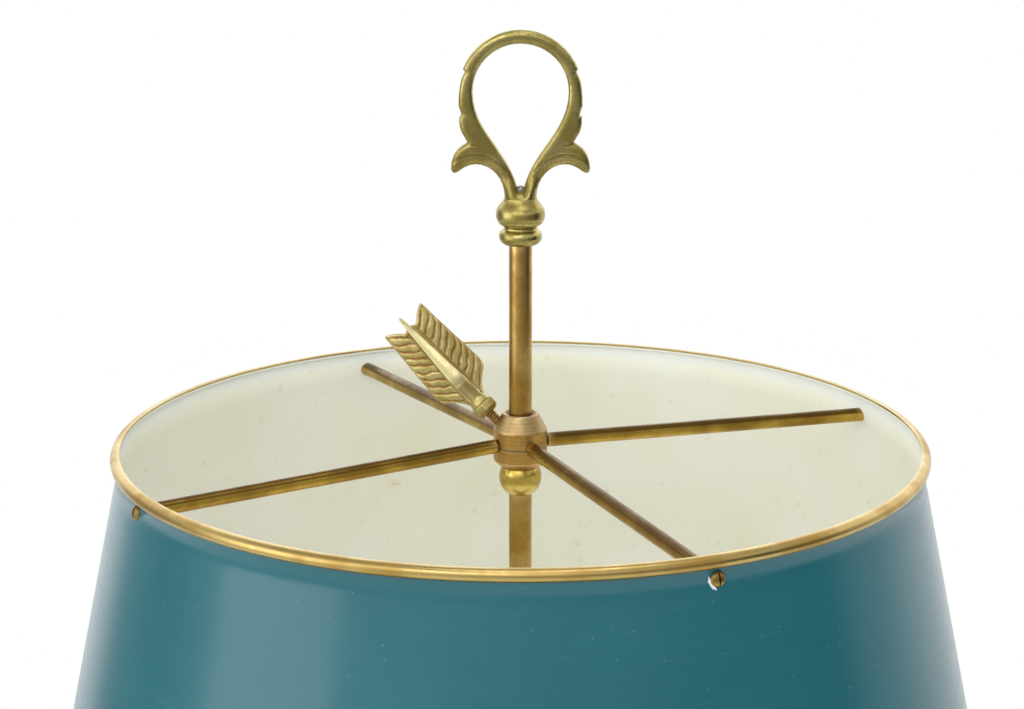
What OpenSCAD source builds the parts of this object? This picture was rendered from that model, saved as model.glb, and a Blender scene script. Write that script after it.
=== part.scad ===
// Bouillotte lamp: three candle lights on a fluted column, under a round sheet shade
// that slides and turns on the rod and is clamped by an arrow-shaped key.

/* [Base] */
// Thickness of the felt under the foot
felt_t = 1.5; // [1:0.1:3]
// Outer radius of the foot ring
foot_r = 86; // [80:0.5:90]
// Thickness of the foot ring's wall
foot_wall = 2.6; // [2:0.1:4]
// Thickness of the cast weight inside the foot
weight_t = 10; // [10:0.5:16]
// Radius of the dish at its edge
dish_r = 98; // [96:0.5:110]
// Thickness of the dish's floor
dish_t = 2; // [1.5:0.1:4]
// Rise of the dish's edge above its floor
dish_rise = 3; // [2:0.5:6]
// Height of the pierced gallery, without its bead
gallery_h = 12; // [10:0.5:18]
// Thickness of the gallery's band
gallery_t = 1.2; // [0.8:0.1:2]
// Number of arched openings in the gallery
gallery_openings = 36; // [24:1:40]
// Radius of each opening's round head
gallery_arch_r = 3.4; // [2.5:0.1:4]
// Radius of the bead on top of the gallery
gallery_bead_r = 1.5; // [1.2:0.1:2.2]
// Radius of the cord outlet's bore
outlet_bore_r = 3; // [2.5:0.1:3]
// Wall of the cord outlet's barrel
outlet_wall = 1; // [0.8:0.1:1]

/* [Column] */
// Outer radius of the threaded pipe
pipe_r = 5; // [4.5:0.1:5.5]
// Radius of the pipe's bore
pipe_bore_r = 3.8; // [3:0.1:4]
// Radius of the plinth at the dish
plinth_r = 40; // [34:0.5:50]
// Height of the plinth
plinth_h = 32; // [26:0.5:44]
// Height of the ring under the fluted shaft
column_base_h = 12; // [10:0.5:18]
// Radius of the fluted shaft at its foot
shaft_foot_r = 12.5; // [11.5:0.1:15]
// Radius of the fluted shaft at its neck
shaft_neck_r = 9.5; // [9:0.1:11]
// Length of the fluted shaft
shaft_h = 138; // [110:1:170]
// Number of flutes
flutes = 16; // [12:1:18]
// Depth of each flute
flute_depth = 1.1; // [0.6:0.1:1.4]
// Plain length of the shaft above and below the flutes
flute_margin = 7; // [5:0.5:12]
// Height of the capital
capital_h = 18; // [15:0.5:24]
// Radius of the capital's top
capital_r = 15; // [14:0.1:16]

/* [Arm cluster] */
// Radius of the hollow body that the arms spring from
cluster_r = 22; // [21:0.1:26]
// Height of the hollow body
cluster_h = 33; // [32:0.5:40]
// Wall of the hollow body
cluster_wall = 3; // [2:0.1:3.4]
// Height of the arms' and the switch's axes above the hollow body's foot
port_rise = 16.5; // [16.5:0.1:18]
// Height of the bell-shaped cap
cap_h = 18; // [15:0.5:24]

/* [Arms and lights] */
// Distance from the rod's axis to each light's axis
light_r = 80; // [74:0.5:90]
// Radius of an arm at the cluster
arm_root_r = 5.4; // [4.6:0.1:6]
// Radius of an arm under its light
arm_tip_r = 3.9; // [3.4:0.1:5]
// Radius of the arm's first, downward bend
arm_bend_r = 20; // [14:0.5:24]
// Angle by which the arm dips
arm_dip = 30; // [20:1:40]
// Radius of the nipple that clamps each light
nipple_r = 4; // [3.5:0.1:4.2]
// Radius of the drip pan
pan_r = 27; // [22:0.5:31]
// Thickness of the drip pan
pan_t = 1.4; // [1:0.1:2]
// Depth of the drip pan
pan_depth = 3.4; // [3:0.1:3.8]
// Height of the candle cup
cup_h = 16; // [12:0.5:20]
// Outer radius of the candle sleeve
sleeve_r = 13; // [12.5:0.1:14]
// Wall of the candle sleeve
sleeve_t = 0.8; // [0.6:0.1:1]
// Length of the candle sleeve
sleeve_l = 80; // [72:0.5:88]
// Largest radius of the bulb's glass
glass_r = 17.5; // [15:0.1:19]
// Length of the bulb's glass
glass_l = 74; // [62:0.5:80]
// Thickness of the bulb's glass
glass_t = 0.8; // [0.6:0.1:1.2]
// Radius of the bulb's screw cap
bulb_cap_r = 6.95; // [6.9:0.05:7]
// Length of the bulb's screw cap
bulb_cap_l = 26; // [24:0.5:28]

/* [Switch] */
// Radius of the switch's round case
switch_r = 6.8; // [6:0.1:7]
// Depth of the switch's case
switch_l = 9; // [8:0.1:9.5]
// Radius of the switch's threaded neck
switch_neck_r = 4.5; // [4:0.1:5]
// Radius of the switch's spindle
spindle_r = 2; // [1.5:0.1:2.4]
// Radius of the turn knob
turn_knob_r = 6.5; // [5.5:0.1:8]
// Length of the turn knob
turn_knob_l = 10; // [8:0.5:14]

/* [Rod] */
// Outer radius of the rod's tubes
rod_r = 5; // [4.8:0.05:5.2]
// Radius of the solid rod inside the tubes
core_r = 4; // [3.5:0.1:4.2]
// Length of the lower tube, from the cap to the stop bead
lower_tube_l = 231.2; // [215:0.5:280]
// Radius of the stop bead
bead_r = 9.3; // [8.6:0.1:10.2]
// Height of the stop bead below its middle
bead_below = 7.4; // [6.8:0.1:7.6]
// Height of the stop bead above its middle
bead_above = 5.6; // [5:0.1:6]
// Height from the stop bead's top to the finial's collar
rod_free_l = 98.7; // [97:0.5:130]

/* [Finial] */
// Height of the collar
collar_h = 7.4; // [6:0.1:9]
// Radius of the collar
collar_r = 9.4; // [9:0.1:11]
// Height of the knob
knob_h = 12.7; // [11:0.1:15]
// Radius of the knob
knob_r = 10.6; // [10:0.1:12.5]
// Radius of the threaded tip that ties the finial together
tip_r = 2; // [1.6:0.1:2.4]
// Height of the loop's centre above the knob
loop_rise = 45.8; // [43:0.1:52]
// Radius of the loop's opening
loop_r = 20.3; // [18:0.1:22]
// Width of the loop's band at its top
loop_band = 6; // [5:0.1:7]
// Thickness of the cast handle
loop_t = 5.4; // [4.6:0.1:6.5]
// Height of the solid foot under the opening
loop_foot = 3.1; // [2.6:0.1:4]

/* [Spider] */
// Radius of the hub
hub_r = 11.7; // [11.2:0.1:13]
// Radius of the hub's top face
hub_top_r = 7.8; // [7.6:0.1:8.6]
// Height of the lower hub piece
hub_lower_h = 8.9; // [8.4:0.1:11]
// Height of the upper hub piece's straight band
hub_band_h = 7.3; // [6.5:0.1:9]
// Height of the hub's cone
hub_cone_h = 7.1; // [6.5:0.1:9]
// Width of the chamfer under the hub
hub_chamfer = 2.3; // [1:0.1:2.6]
// Radius of each spoke
spoke_r = 3.15; // [2.6:0.05:3.5]
// Angle by which the spokes droop outwards
spoke_droop = 2.86; // [1:0.1:3.5]
// Direction of the first spoke
spoke_turn = 25.6; // [0:0.1:44]

/* [Shade] */
// Outer radius of the sheet just under its top band
shade_top_r = 174.75; // [160:0.5:190]
// Outer radius of the sheet at its lower edge
shade_bottom_r = 207.9; // [198:0.5:220]
// Height of the shade
shade_h = 165; // [150:1:180]
// Thickness of the sheet
shade_t = 0.6; // [0.5:0.05:0.9]
// Height of the straight band at the sheet's top
shade_band_h = 6.5; // [6.2:0.1:6.8]
// Radius of the half-round brass bead on the band
rim_bead_r = 2.8; // [2.4:0.1:2.9]
// Thickness of the brass over the sheet's edge
rim_cap_t = 0.8; // [0.5:0.1:1]
// Height of the brass lip inside the sheet
rim_lip_h = 1.1; // [0.8:0.1:2]
// Radius of the wired lower edge
hem_ring_r = 2.2; // [1.8:0.1:3]
// Distance from the shade's top down to the spokes' ends
spoke_end_drop = 10; // [10:0.1:14]
// Radius of the shade screws' shanks
screw_r = 1.5; // [1.2:0.1:1.6]
// Radius of the shade screws' heads
screw_head_r = 3; // [2.6:0.1:3.4]
// Height of the shade screws' heads
screw_head_h = 1.8; // [1.4:0.1:2.4]

/* [Arrow key] */
// Slope of the key above level
key_slope = 43.2; // [41:0.1:45]
// Turn of the three vanes about the key's axis
key_roll = 113; // [0:1:119]
// Radius of the key's threaded stud
stud_r = 2; // [1.6:0.1:2.4]
// Length of the key's visible thread
stud_free_l = 4; // [3:0.1:7]
// Corner radius of the six-sided boss
boss_r = 6.2; // [5.6:0.1:7]
// Length of the six-sided boss
boss_l = 5.6; // [5:0.1:7]
// Radius of the arrow's shaft behind the boss
arrow_r = 3.9; // [3.4:0.1:4.4]
// Radius of the arrow's shaft at its end
arrow_end_r = 3.3; // [2.6:0.1:3.6]
// Length of the vanes
vane_l = 41; // [34:0.5:46]
// Radius over the vanes
vane_r = 13.8; // [11:0.1:14.5]
// Thickness of each vane at its front
vane_front_t = 7.6; // [6:0.1:7.8]
// Thickness of each vane at its tail
vane_tail_t = 1.3; // [1:0.1:2]

/* [Fits] */
// Radial clearance where pieces turn or slide
running_gap = 0.05; // [0.02:0.01:0.08]
// Radial clearance where pieces are screwed or pushed together
seat_gap = 0.02; // [0.01:0.01:0.05]

/* [Hidden] */
$fn = 64;

// Levels of the standing parts, from the table up
z_foot = felt_t;
z_dish = z_foot + weight_t;
z_tray = z_dish + dish_t;
z_plinth_top = z_tray + plinth_h;
z_shaft = z_plinth_top + column_base_h;
z_capital = z_shaft + shaft_h;
z_cluster = z_capital + capital_h;
z_port = z_cluster + port_rise;
z_cap = z_cluster + cluster_h;
z_tube = z_cap + cap_h;
z_bead = z_tube + lower_tube_l;
z_hub = z_bead + bead_below + bead_above;
z_collar = z_hub + rod_free_l;
z_knob = z_collar + collar_h;
z_handle = z_knob + knob_h;

// The pipe, its nuts and the washer in the weight's recess
nut_h = 5;
nut_r = 8.1;
washer_t = 1.5;
washer_r = 11;
recess_r = washer_r + 1;
z_washer = z_foot + 1.5 + nut_h;
z_pipe = z_foot + 0.5;
pipe_hole_r = pipe_r + seat_gap;
floor_t = 3;
z_pipe_top = z_cluster + floor_t + nut_h + 0.5;

// The cord's way out through the foot ring, under the place where the dish starts to flare
z_flare = z_dish - 0.4;
outlet_r = outlet_bore_r + outlet_wall;
outlet_flange_r = outlet_r + 0.6;
outlet_flange_t = 2;
outlet_l = 8;
channel_w = 2 * outlet_r + 1.5;
z_outlet = (z_foot + z_flare) / 2;

// The dish's edge and the gallery that stands on it
edge_w = gallery_t + 1.2;
z_edge = z_tray + dish_rise;
gallery_mid_r = dish_r - edge_w / 2;
arch_sill = 1.6;
arch_top_bar = 1.4;

// The flutes
flute_foot_r = 0.34 * PI * shaft_foot_r / flutes + flute_depth / 2;
flute_neck_r = 0.34 * PI * shaft_neck_r / flutes + flute_depth / 2;

// Arms and lights
light_turns = [90, 210, 330];
switch_turn = 270;
port_r = 8;
port_face = cluster_r + 2;
spigot_l = 4;
arm_collar_l = 3;
arm_x = port_face + arm_collar_l - 1;
bend_x = arm_x + arm_bend_r * sin(arm_dip);
bend_z = z_port - arm_bend_r * (1 - cos(arm_dip));
sweep_r = (light_r - bend_x) / (1 + sin(arm_dip));
z_arm_end = bend_z + sweep_r * cos(arm_dip);
arm_socket_r = nipple_r + 2;
arm_socket_h = 8;
z_nipple = z_arm_end - 2;
z_pan = z_arm_end + arm_socket_h / 2;
z_cup = z_pan + pan_t;
cup_floor = 5;
cup_belly = 0.6;
cup_wall = 1.3;
z_sleeve = z_cup + cup_floor;
z_sleeve_top = z_sleeve + sleeve_l;
holder_r = sleeve_r - sleeve_t - 0.6;
holder_h = sleeve_l - 1;
holder_head_h = 34;
holder_boss_h = 10;
socket_depth = bulb_cap_l - 2;
z_bulb_cap = z_sleeve + holder_h - socket_depth;
z_glass = z_bulb_cap + bulb_cap_l;
glass_neck_r = bulb_cap_r - 0.4;
stem_h = 30;

// The switch lies between the cluster's wall and the rod's axis. Its round case stops where
// its edge would meet the curved wall, and its neck goes on through the wall.
switch_x = cluster_r - cluster_wall;
switch_case_x = sqrt(switch_x * switch_x - switch_r * switch_r) - 0.2;
switch_neck_l = port_face - switch_x + 4;
switch_nut_t = 2.5;
switch_nut_r = switch_neck_r + 3;
turn_knob_x = switch_x + switch_neck_l + 0.5;
spindle_in = 5;

// The cap's spigot and the rod's hidden end in it
cap_spigot_h = 4;
core_in_cap = 3;

// The spider and the shade
z_seam = z_hub + hub_lower_h;
z_hub_edge = z_seam + hub_band_h;
z_hub_top = z_hub_edge + hub_cone_h;
hub_bore_r = rod_r + running_gap;
hub_spigot_r = hub_bore_r + 2.4;
hub_spigot_h = 4;
countersink = 1.6;
spoke_above_seam = 1.2;
z_spoke = z_seam + spoke_above_seam;
socket_web = 0.24 * rod_r;
socket_r = hub_bore_r + socket_web;
spoke_step = 90;
spoke_turns = [for (i = [0:3]) spoke_turn + spoke_step * i];
shade_slope = (shade_bottom_r - shade_top_r) / (shade_h - shade_band_h);
shade_lean = atan(shade_slope);
spoke_end_r = shade_top_r - shade_t + shade_slope * (spoke_end_drop - shade_band_h);
z_spoke_end = z_spoke - spoke_end_r * tan(spoke_droop);
z_rim = z_spoke_end + spoke_end_drop;
z_hem = z_rim - shade_h;
z_band = z_rim - shade_band_h;
band_step = 0.4;
band_r = shade_top_r + band_step;
rim_lip_t = 0.6;
screw_in_spoke = 3.3 * screw_r;
screw_tip_gap = 0.2 * screw_r;
screw_slot_w = 0.3 * screw_head_r;
screw_slot_d = 0.5 * screw_head_h;
cut_over = 0.12 * shade_top_r;

// The key meets the rod's axis a little below the seam, between two spokes
key_below_seam = 0.4;
z_key = z_seam - key_below_seam;
key_turn = spoke_turn + 1.5 * spoke_step;
key_tip_r = 0.4;
key_gap = 0.15;
key_tip = (rod_r + key_gap + key_tip_r * sin(key_slope)) / cos(key_slope);
boss_from = hub_r / cos(key_slope) - 0.5 + stud_free_l;
arrow_from = boss_from + boss_l;
arrow_neck_l = 5;
vane_from = arrow_from + arrow_neck_l;
stud_in_boss = 9;

// Points on a cubic curve with the given end and handle points, the last left out
function curve(a, b, c, d, n = 8) = [for (i = [0:n - 1]) let (t = i / n, s = 1 - t)
    s * s * s * a + 3 * s * s * t * b + 3 * s * t * t * c + t * t * t * d];
// A hollow quarter turn from p inwards and up to q
function cove(p, q, n = 8) = [for (i = [0:n]) let (t = 90 * i / n)
    [p.x + (q.x - p.x) * sin(t), p.y + (q.y - p.y) * (1 - cos(t))]];
// A rounded quarter turn from p up and inwards to q
function ovolo(p, q, n = 8) = [for (i = [0:n]) let (t = 90 * i / n)
    [q.x + (p.x - q.x) * cos(t), p.y + (q.y - p.y) * sin(t)]];
// A half-round bead that stands out from radius r between two levels
function bead(r, z0, z1, n = 8) = [for (i = [0:n]) let (t = 180 * i / n - 90)
    [r + (z1 - z0) / 2 * cos(t), (z0 + z1) / 2 + (z1 - z0) / 2 * sin(t)]];

module turned(profile) {
    rotate_extrude() polygon(profile);
}

module hex_nut(z, r, h, bore) {
    translate([0, 0, z]) difference() {
        cylinder(r = r, h = h, $fn = 6);
        translate([0, 0, -1]) cylinder(r = bore, h = h + 2);
    }
}

// A cylinder that points outwards along the direction turn, at level z
module spike(turn, z, from, to, r) {
    rotate([0, 0, turn]) translate([from, 0, z]) rotate([0, 90, 0]) cylinder(r = r, h = to - from);
}

// ---- Base ----

module felt_pad() {
    color("darkolivegreen") difference() {
        cylinder(r = foot_r - 1, h = felt_t);
        translate([0, 0, -1]) cylinder(r = recess_r, h = felt_t + 2);
    }
}

module base_weight() {
    weight_r = foot_r - foot_wall - 0.4;
    color("dimgray") difference() {
        translate([0, 0, z_foot]) cylinder(r = weight_r, h = weight_t);
        translate([0, 0, z_foot - 1]) cylinder(r = pipe_hole_r, h = weight_t + 2);
        translate([0, 0, z_foot - 1]) cylinder(r = recess_r, h = z_washer + washer_t - z_foot + 1);
        translate([-channel_w / 2, 0, z_foot - 1])
            cube([channel_w, weight_r + 1, weight_t / 2 + channel_w / 2 + 1]);
    }
}

module base_dish() {
    floor_r = dish_r - edge_w - 4;
    profile = concat(
        [[foot_r - foot_wall, z_foot], [foot_r, z_foot]],
        curve([foot_r, z_flare], [foot_r + 4, z_flare + 0.4],
            [dish_r - 4, z_dish + 0.6], [dish_r, z_edge - 2]),
        [[dish_r, z_edge - 2], [dish_r, z_edge]],
        curve([dish_r - edge_w, z_edge], [dish_r - edge_w, z_tray + 1],
            [floor_r + 2, z_tray], [floor_r, z_tray], 5),
        [[floor_r, z_tray], [pipe_hole_r, z_tray], [pipe_hole_r, z_dish], [foot_r - foot_wall, z_dish]]);
    color("goldenrod") difference() {
        turned(profile);
        spike(90, z_outlet, foot_r - foot_wall - 2, foot_r + 2, outlet_r + seat_gap);
    }
}

module gallery_ring() {
    arch_z = z_edge + gallery_h - arch_top_bar - gallery_arch_r;
    color("goldenrod") difference() {
        rotate_extrude() {
            translate([gallery_mid_r - gallery_t / 2, z_edge]) square([gallery_t, gallery_h]);
            translate([gallery_mid_r, z_edge + gallery_h]) circle(r = gallery_bead_r, $fn = 32);
        }
        for (i = [0:gallery_openings - 1]) rotate([0, 0, 360 * (i + 0.5) / gallery_openings]) {
            spike(0, arch_z, gallery_mid_r - 3, gallery_mid_r + 3, gallery_arch_r);
            translate([gallery_mid_r - 3, -gallery_arch_r, z_edge + arch_sill])
                cube([6, 2 * gallery_arch_r, arch_z - z_edge - arch_sill]);
        }
    }
}

module base_washer() {
    color("silver") difference() {
        translate([0, 0, z_washer]) cylinder(r = washer_r, h = washer_t);
        translate([0, 0, z_washer - 1]) cylinder(r = pipe_hole_r, h = washer_t + 2);
    }
}

module pipe_nuts() {
    color("silver") {
        hex_nut(z_washer - nut_h, nut_r, nut_h, pipe_hole_r);
        hex_nut(z_cluster + floor_t, nut_r, nut_h, pipe_hole_r);
    }
}

module cord_bushing() {
    color("black") difference() {
        union() {
            spike(90, z_outlet, foot_r + outlet_flange_t - outlet_l, foot_r + outlet_flange_t, outlet_r);
            intersection() {
                spike(90, z_outlet, foot_r - 1, foot_r + outlet_flange_t, outlet_flange_r);
                difference() {
                    cylinder(r = foot_r + 2 * outlet_flange_t, h = z_dish);
                    translate([0, 0, -1]) cylinder(r = foot_r, h = z_dish + 2);
                }
            }
        }
        spike(90, z_outlet, foot_r - outlet_l - 4, foot_r + 6, outlet_bore_r);
    }
}

// ---- Column ----

module lamp_pipe() {
    color("silver") difference() {
        translate([0, 0, z_pipe]) cylinder(r = pipe_r, h = z_pipe_top - z_pipe);
        translate([0, 0, z_pipe - 1]) cylinder(r = pipe_bore_r, h = z_pipe_top - z_pipe + 2);
    }
}

module plinth() {
    neck_r = shaft_foot_r + 5.5;
    color("goldenrod") turned(concat(
        [[pipe_hole_r, z_tray], [plinth_r, z_tray]],
        bead(plinth_r - 2, z_tray, z_tray + 4),
        [[plinth_r - 3.5, z_tray + 4], [plinth_r - 3.5, z_tray + 6]],
        cove([plinth_r - 5, z_tray + 6], [neck_r + 3, z_plinth_top - 8]),
        ovolo([neck_r + 3, z_plinth_top - 5], [neck_r, z_plinth_top]),
        [[pipe_hole_r, z_plinth_top]]));
}

module column_base() {
    r = shaft_foot_r;
    h = column_base_h;
    color("goldenrod") turned(concat(
        [[pipe_hole_r, z_plinth_top]],
        bead(r + 2, z_plinth_top, z_plinth_top + 0.45 * h),
        curve([r + 1.6, z_plinth_top + 0.47 * h], [r - 0.6, z_plinth_top + 0.52 * h],
            [r - 0.4, z_plinth_top + 0.68 * h], [r + 0.8, z_plinth_top + 0.72 * h], 6),
        bead(r + 0.6, z_plinth_top + 0.74 * h, z_shaft),
        [[pipe_hole_r, z_shaft]]));
}

module fluted_column() {
    lean = atan((shaft_foot_r - shaft_neck_r) / shaft_h);
    run = (shaft_h - 2 * flute_margin) / cos(lean);
    low_r = shaft_foot_r - flute_margin * tan(lean);
    // each flute is a tapered rod with round ends, laid into the shaft's slope
    color("gold") difference() {
        translate([0, 0, z_shaft]) cylinder(r1 = shaft_foot_r, r2 = shaft_neck_r, h = shaft_h);
        translate([0, 0, z_shaft - 1]) cylinder(r = pipe_hole_r, h = shaft_h + 2);
        for (i = [0:flutes - 1]) rotate([0, 0, 360 * i / flutes])
            translate([low_r + flute_foot_r - flute_depth, 0, z_shaft + flute_margin])
                rotate([0, -lean, 0]) {
                    cylinder(r1 = flute_foot_r, r2 = flute_neck_r, h = run, $fn = 24);
                    sphere(r = flute_foot_r, $fn = 24);
                    translate([0, 0, run]) sphere(r = flute_neck_r, $fn = 24);
                }
    }
}

module capital() {
    r = shaft_neck_r;
    h = capital_h;
    color("goldenrod") turned(concat(
        [[pipe_hole_r, z_capital]],
        bead(r + 0.4, z_capital, z_capital + 0.16 * h, 6),
        [[r - 0.4, z_capital + 0.18 * h], [r - 0.4, z_capital + 0.36 * h]],
        bead(r + 0.2, z_capital + 0.38 * h, z_capital + 0.5 * h, 6),
        curve([r, z_capital + 0.52 * h], [r + 0.5, z_capital + 0.66 * h],
            [capital_r - 1.4, z_capital + 0.66 * h], [capital_r - 0.8, z_capital + 0.82 * h], 6),
        bead(capital_r - 0.09 * h, z_capital + 0.82 * h, z_cluster, 6),
        [[pipe_hole_r, z_cluster]]));
}

// ---- Arm cluster and switch ----

module cluster_body() {
    cavity_r = cluster_r - cluster_wall;
    foot = capital_r - 1;
    color("goldenrod") difference() {
        union() {
            turned(concat(
                [[pipe_hole_r, z_cluster], [foot, z_cluster]],
                ovolo([foot, z_cluster], [foot - 1, z_cluster + 1.5], 3),
                curve([foot - 1, z_cluster + 2], [foot + 1, z_cluster + 3],
                    [cluster_r, z_cluster + 4], [cluster_r, z_port - port_r + 1]),
                [[cluster_r, z_port - port_r + 1], [cluster_r, z_port + port_r - 1],
                    [cluster_r - 1, z_port + port_r], [cluster_r - 1, z_cap - 3],
                    [cluster_r + 0.5, z_cap - 2], [cluster_r + 0.5, z_cap], [pipe_hole_r, z_cap]]));
            for (turn = concat(light_turns, [switch_turn])) spike(turn, z_port, 10, port_face, port_r);
        }
        turned([[0, z_cluster + floor_t], [foot - 3, z_cluster + floor_t],
            [cavity_r, z_port - port_r + 1], [cavity_r, z_cap + 1], [0, z_cap + 1]]);
        for (turn = light_turns) spike(turn, z_port, 12, port_face + 1, nipple_r + seat_gap);
        spike(switch_turn, z_port, 12, port_face + 1, switch_neck_r + seat_gap);
    }
}

module cluster_cap() {
    spigot_r = cluster_r - cluster_wall - seat_gap;
    bell_r = cluster_r + 0.5;
    top_r = rod_r + 2.6;
    color("goldenrod") turned(concat(
        [[core_r + seat_gap, z_cap - cap_spigot_h], [spigot_r, z_cap - cap_spigot_h],
            [spigot_r, z_cap], [bell_r, z_cap], [bell_r, z_cap + 2]],
        ovolo([bell_r - 1.5, z_cap + 2], [bell_r - 7, z_cap + 0.42 * cap_h]),
        cove([bell_r - 8.5, z_cap + 0.44 * cap_h], [top_r, z_tube - 4]),
        bead(top_r, z_tube - 3.6, z_tube - 0.6),
        [[top_r, z_tube], [core_r + seat_gap, z_tube]]));
}

module switch_body() {
    color("saddlebrown") difference() {
        union() {
            spike(switch_turn, z_port, switch_x - switch_l, switch_case_x, switch_r);
            spike(switch_turn, z_port, switch_case_x - 1, switch_x + switch_neck_l, switch_neck_r);
        }
        spike(switch_turn, z_port, switch_x - spindle_in - 1, port_face + 20, spindle_r + running_gap);
    }
}

module switch_nut() {
    color("goldenrod") difference() {
        spike(switch_turn, z_port, port_face, port_face + switch_nut_t, switch_nut_r);
        spike(switch_turn, z_port, port_face - 1, port_face + switch_nut_t + 1, switch_neck_r + seat_gap);
    }
}

module switch_knob() {
    spindle_l = spindle_in + turn_knob_x - switch_x + 3;
    grips = 12;
    color("goldenrod") rotate([0, 0, switch_turn]) translate([0, 0, z_port]) rotate([0, 90, 0])
        difference() {
            union() {
                translate([0, 0, switch_x - spindle_in]) cylinder(r = spindle_r, h = spindle_l);
                translate([0, 0, turn_knob_x]) turned(concat(
                    [[0, 0], [turn_knob_r - 1.2, 0], [turn_knob_r - 1.2, 1.5], [turn_knob_r, 2.2]],
                    ovolo([turn_knob_r, turn_knob_l - 2.4], [turn_knob_r - 3, turn_knob_l]),
                    [[0, turn_knob_l]]));
            }
            for (i = [0:grips - 1]) rotate([0, 0, 360 * i / grips])
                translate([turn_knob_r + 0.9, 0, turn_knob_x + 2.2])
                    cylinder(r = 1.4, h = turn_knob_l, $fn = 16);
        }
}

// ---- Arms and lights ----

// Stations along an arm: distance, level, heading and radius, first dipping, then rising
function arm_station(i, n1, n2) = let (
    heading = i <= n1 ? -arm_dip * i / n1 : -arm_dip + (90 + arm_dip) * (i - n1) / n2,
    r = arm_root_r + (arm_tip_r - arm_root_r) * i / (n1 + n2))
    i <= n1
        ? [arm_x - arm_bend_r * sin(heading), z_port - arm_bend_r * (1 - cos(heading)), heading, r]
        : [bend_x + sweep_r * (sin(arm_dip) + sin(heading)),
            bend_z + sweep_r * (cos(arm_dip) - cos(heading)), heading, r];

module swept(stations, sides = 16) {
    n = len(stations);
    points = [for (s = stations) for (j = [0:sides - 1]) let (a = 360 * j / sides)
        [s[0] - s[3] * cos(a) * sin(s[2]), s[3] * sin(a), s[1] + s[3] * cos(a) * cos(s[2])]];
    faces = concat(
        [[for (j = [0:sides - 1]) sides - 1 - j]],
        [for (i = [0:n - 2]) for (j = [0:sides - 1]) let (k = (j + 1) % sides)
            [i * sides + j, i * sides + k, (i + 1) * sides + k, (i + 1) * sides + j]],
        [[for (j = [0:sides - 1]) (n - 1) * sides + j]]);
    polyhedron(points, faces);
}

module arm(turn) {
    n1 = 5;
    n2 = 14;
    color("goldenrod") rotate([0, 0, turn]) difference() {
        union() {
            swept([for (i = [0:n1 + n2]) arm_station(i, n1, n2)]);
            spike(0, z_port, port_face - spigot_l, port_face + 1, nipple_r);
            spike(0, z_port, port_face, port_face + arm_collar_l, port_r - 0.6);
            translate([light_r, 0, z_pan - arm_socket_h]) cylinder(r = arm_socket_r, h = arm_socket_h);
        }
        translate([light_r, 0, z_nipple]) cylinder(r = nipple_r + seat_gap, h = arm_socket_h);
    }
}

module at_light(turn, z) {
    rotate([0, 0, turn]) translate([light_r, 0, z]) children();
}

module arm_nipples() {
    color("silver") for (turn = light_turns)
        at_light(turn, z_nipple) cylinder(r = nipple_r, h = z_sleeve + holder_boss_h - 1 - z_nipple);
}

module drip_pan(turn) {
    lip = pan_t / 2;
    color("goldenrod") at_light(turn, z_pan) turned(concat(
        [[nipple_r + seat_gap, 0], [arm_socket_r + 4, 0]],
        curve([arm_socket_r + 5, 0], [pan_r - 7, 0.4], [pan_r - 3, 1], [pan_r - lip, pan_depth]),
        [for (i = [0:6]) let (t = 180 * i / 6)
            [pan_r - lip + lip * cos(t), pan_t / 2 + pan_depth - lip + lip * sin(t)]],
        curve([pan_r - 2 * lip - 0.2, pan_depth], [pan_r - 4, pan_t + 1.2],
            [pan_r - 8, pan_t + 0.2], [arm_socket_r + 6, pan_t]),
        [[arm_socket_r + 6, pan_t], [nipple_r + seat_gap, pan_t]]));
}

module candle_cup(turn) {
    inner = sleeve_r + seat_gap;
    outer = inner + cup_wall;
    belly = outer + cup_belly;
    color("goldenrod") at_light(turn, z_cup) turned(concat(
        [[nipple_r + seat_gap, 0], [outer - 5.5, 0], [outer - 5.5, 1]],
        curve([outer - 5, 1.4], [outer - 2.5, 1.6], [belly, 2.6], [belly, cup_floor]),
        curve([belly, cup_floor], [belly, cup_floor + 3], [outer, cup_h - 6], [outer, cup_h - 3.6], 5),
        bead(outer, cup_h - 3, cup_h, 6),
        [[inner, cup_h], [inner, cup_floor], [nipple_r + seat_gap, cup_floor]]));
}

module candle_sleeve(turn) {
    color("ivory") at_light(turn, z_sleeve) difference() {
        cylinder(r = sleeve_r, h = sleeve_l);
        translate([0, 0, -1]) cylinder(r = sleeve_r - sleeve_t, h = sleeve_l + 2);
    }
}

module lampholder(turn) {
    head = holder_h - holder_head_h;
    color("dimgray") at_light(turn, z_sleeve) difference() {
        turned([[0, 0], [8, 0], [8, holder_boss_h], [5, holder_boss_h + 2], [5, head - 4],
            [holder_r, head], [holder_r, holder_h], [0, holder_h]]);
        translate([0, 0, -1]) cylinder(r = nipple_r + seat_gap, h = holder_boss_h + 1);
        translate([0, 0, holder_h - socket_depth]) cylinder(r = bulb_cap_r + 0.1, h = socket_depth + 1);
    }
}

module bulb_cap(turn) {
    color("silver") at_light(turn, z_bulb_cap) turned([[0, 0], [2.5, 0], [3, 1.2], [5.5, 3],
        [bulb_cap_r, 4], [bulb_cap_r, bulb_cap_l], [0, bulb_cap_l]]);
}

function glass_outline(neck, r, l, n) = concat(
    curve([neck, 0], [neck, 0.12 * l], [r, 0.12 * l], [r, 0.36 * l], n),
    curve([r, 0.36 * l], [r, 0.66 * l], [0.28 * r, 0.8 * l], [0, l], n));

module bulb_glass(turn) {
    n = 9;
    inner = glass_outline(glass_neck_r - glass_t, glass_r - glass_t, glass_l - 2 * glass_t, n);
    color("white", 0.4) at_light(turn, z_glass) turned(concat(
        glass_outline(glass_neck_r, glass_r, glass_l, n), [[0, glass_l], [0, glass_l - 2 * glass_t]],
        [for (i = [len(inner) - 1:-1:0]) inner[i]]));
}

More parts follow.
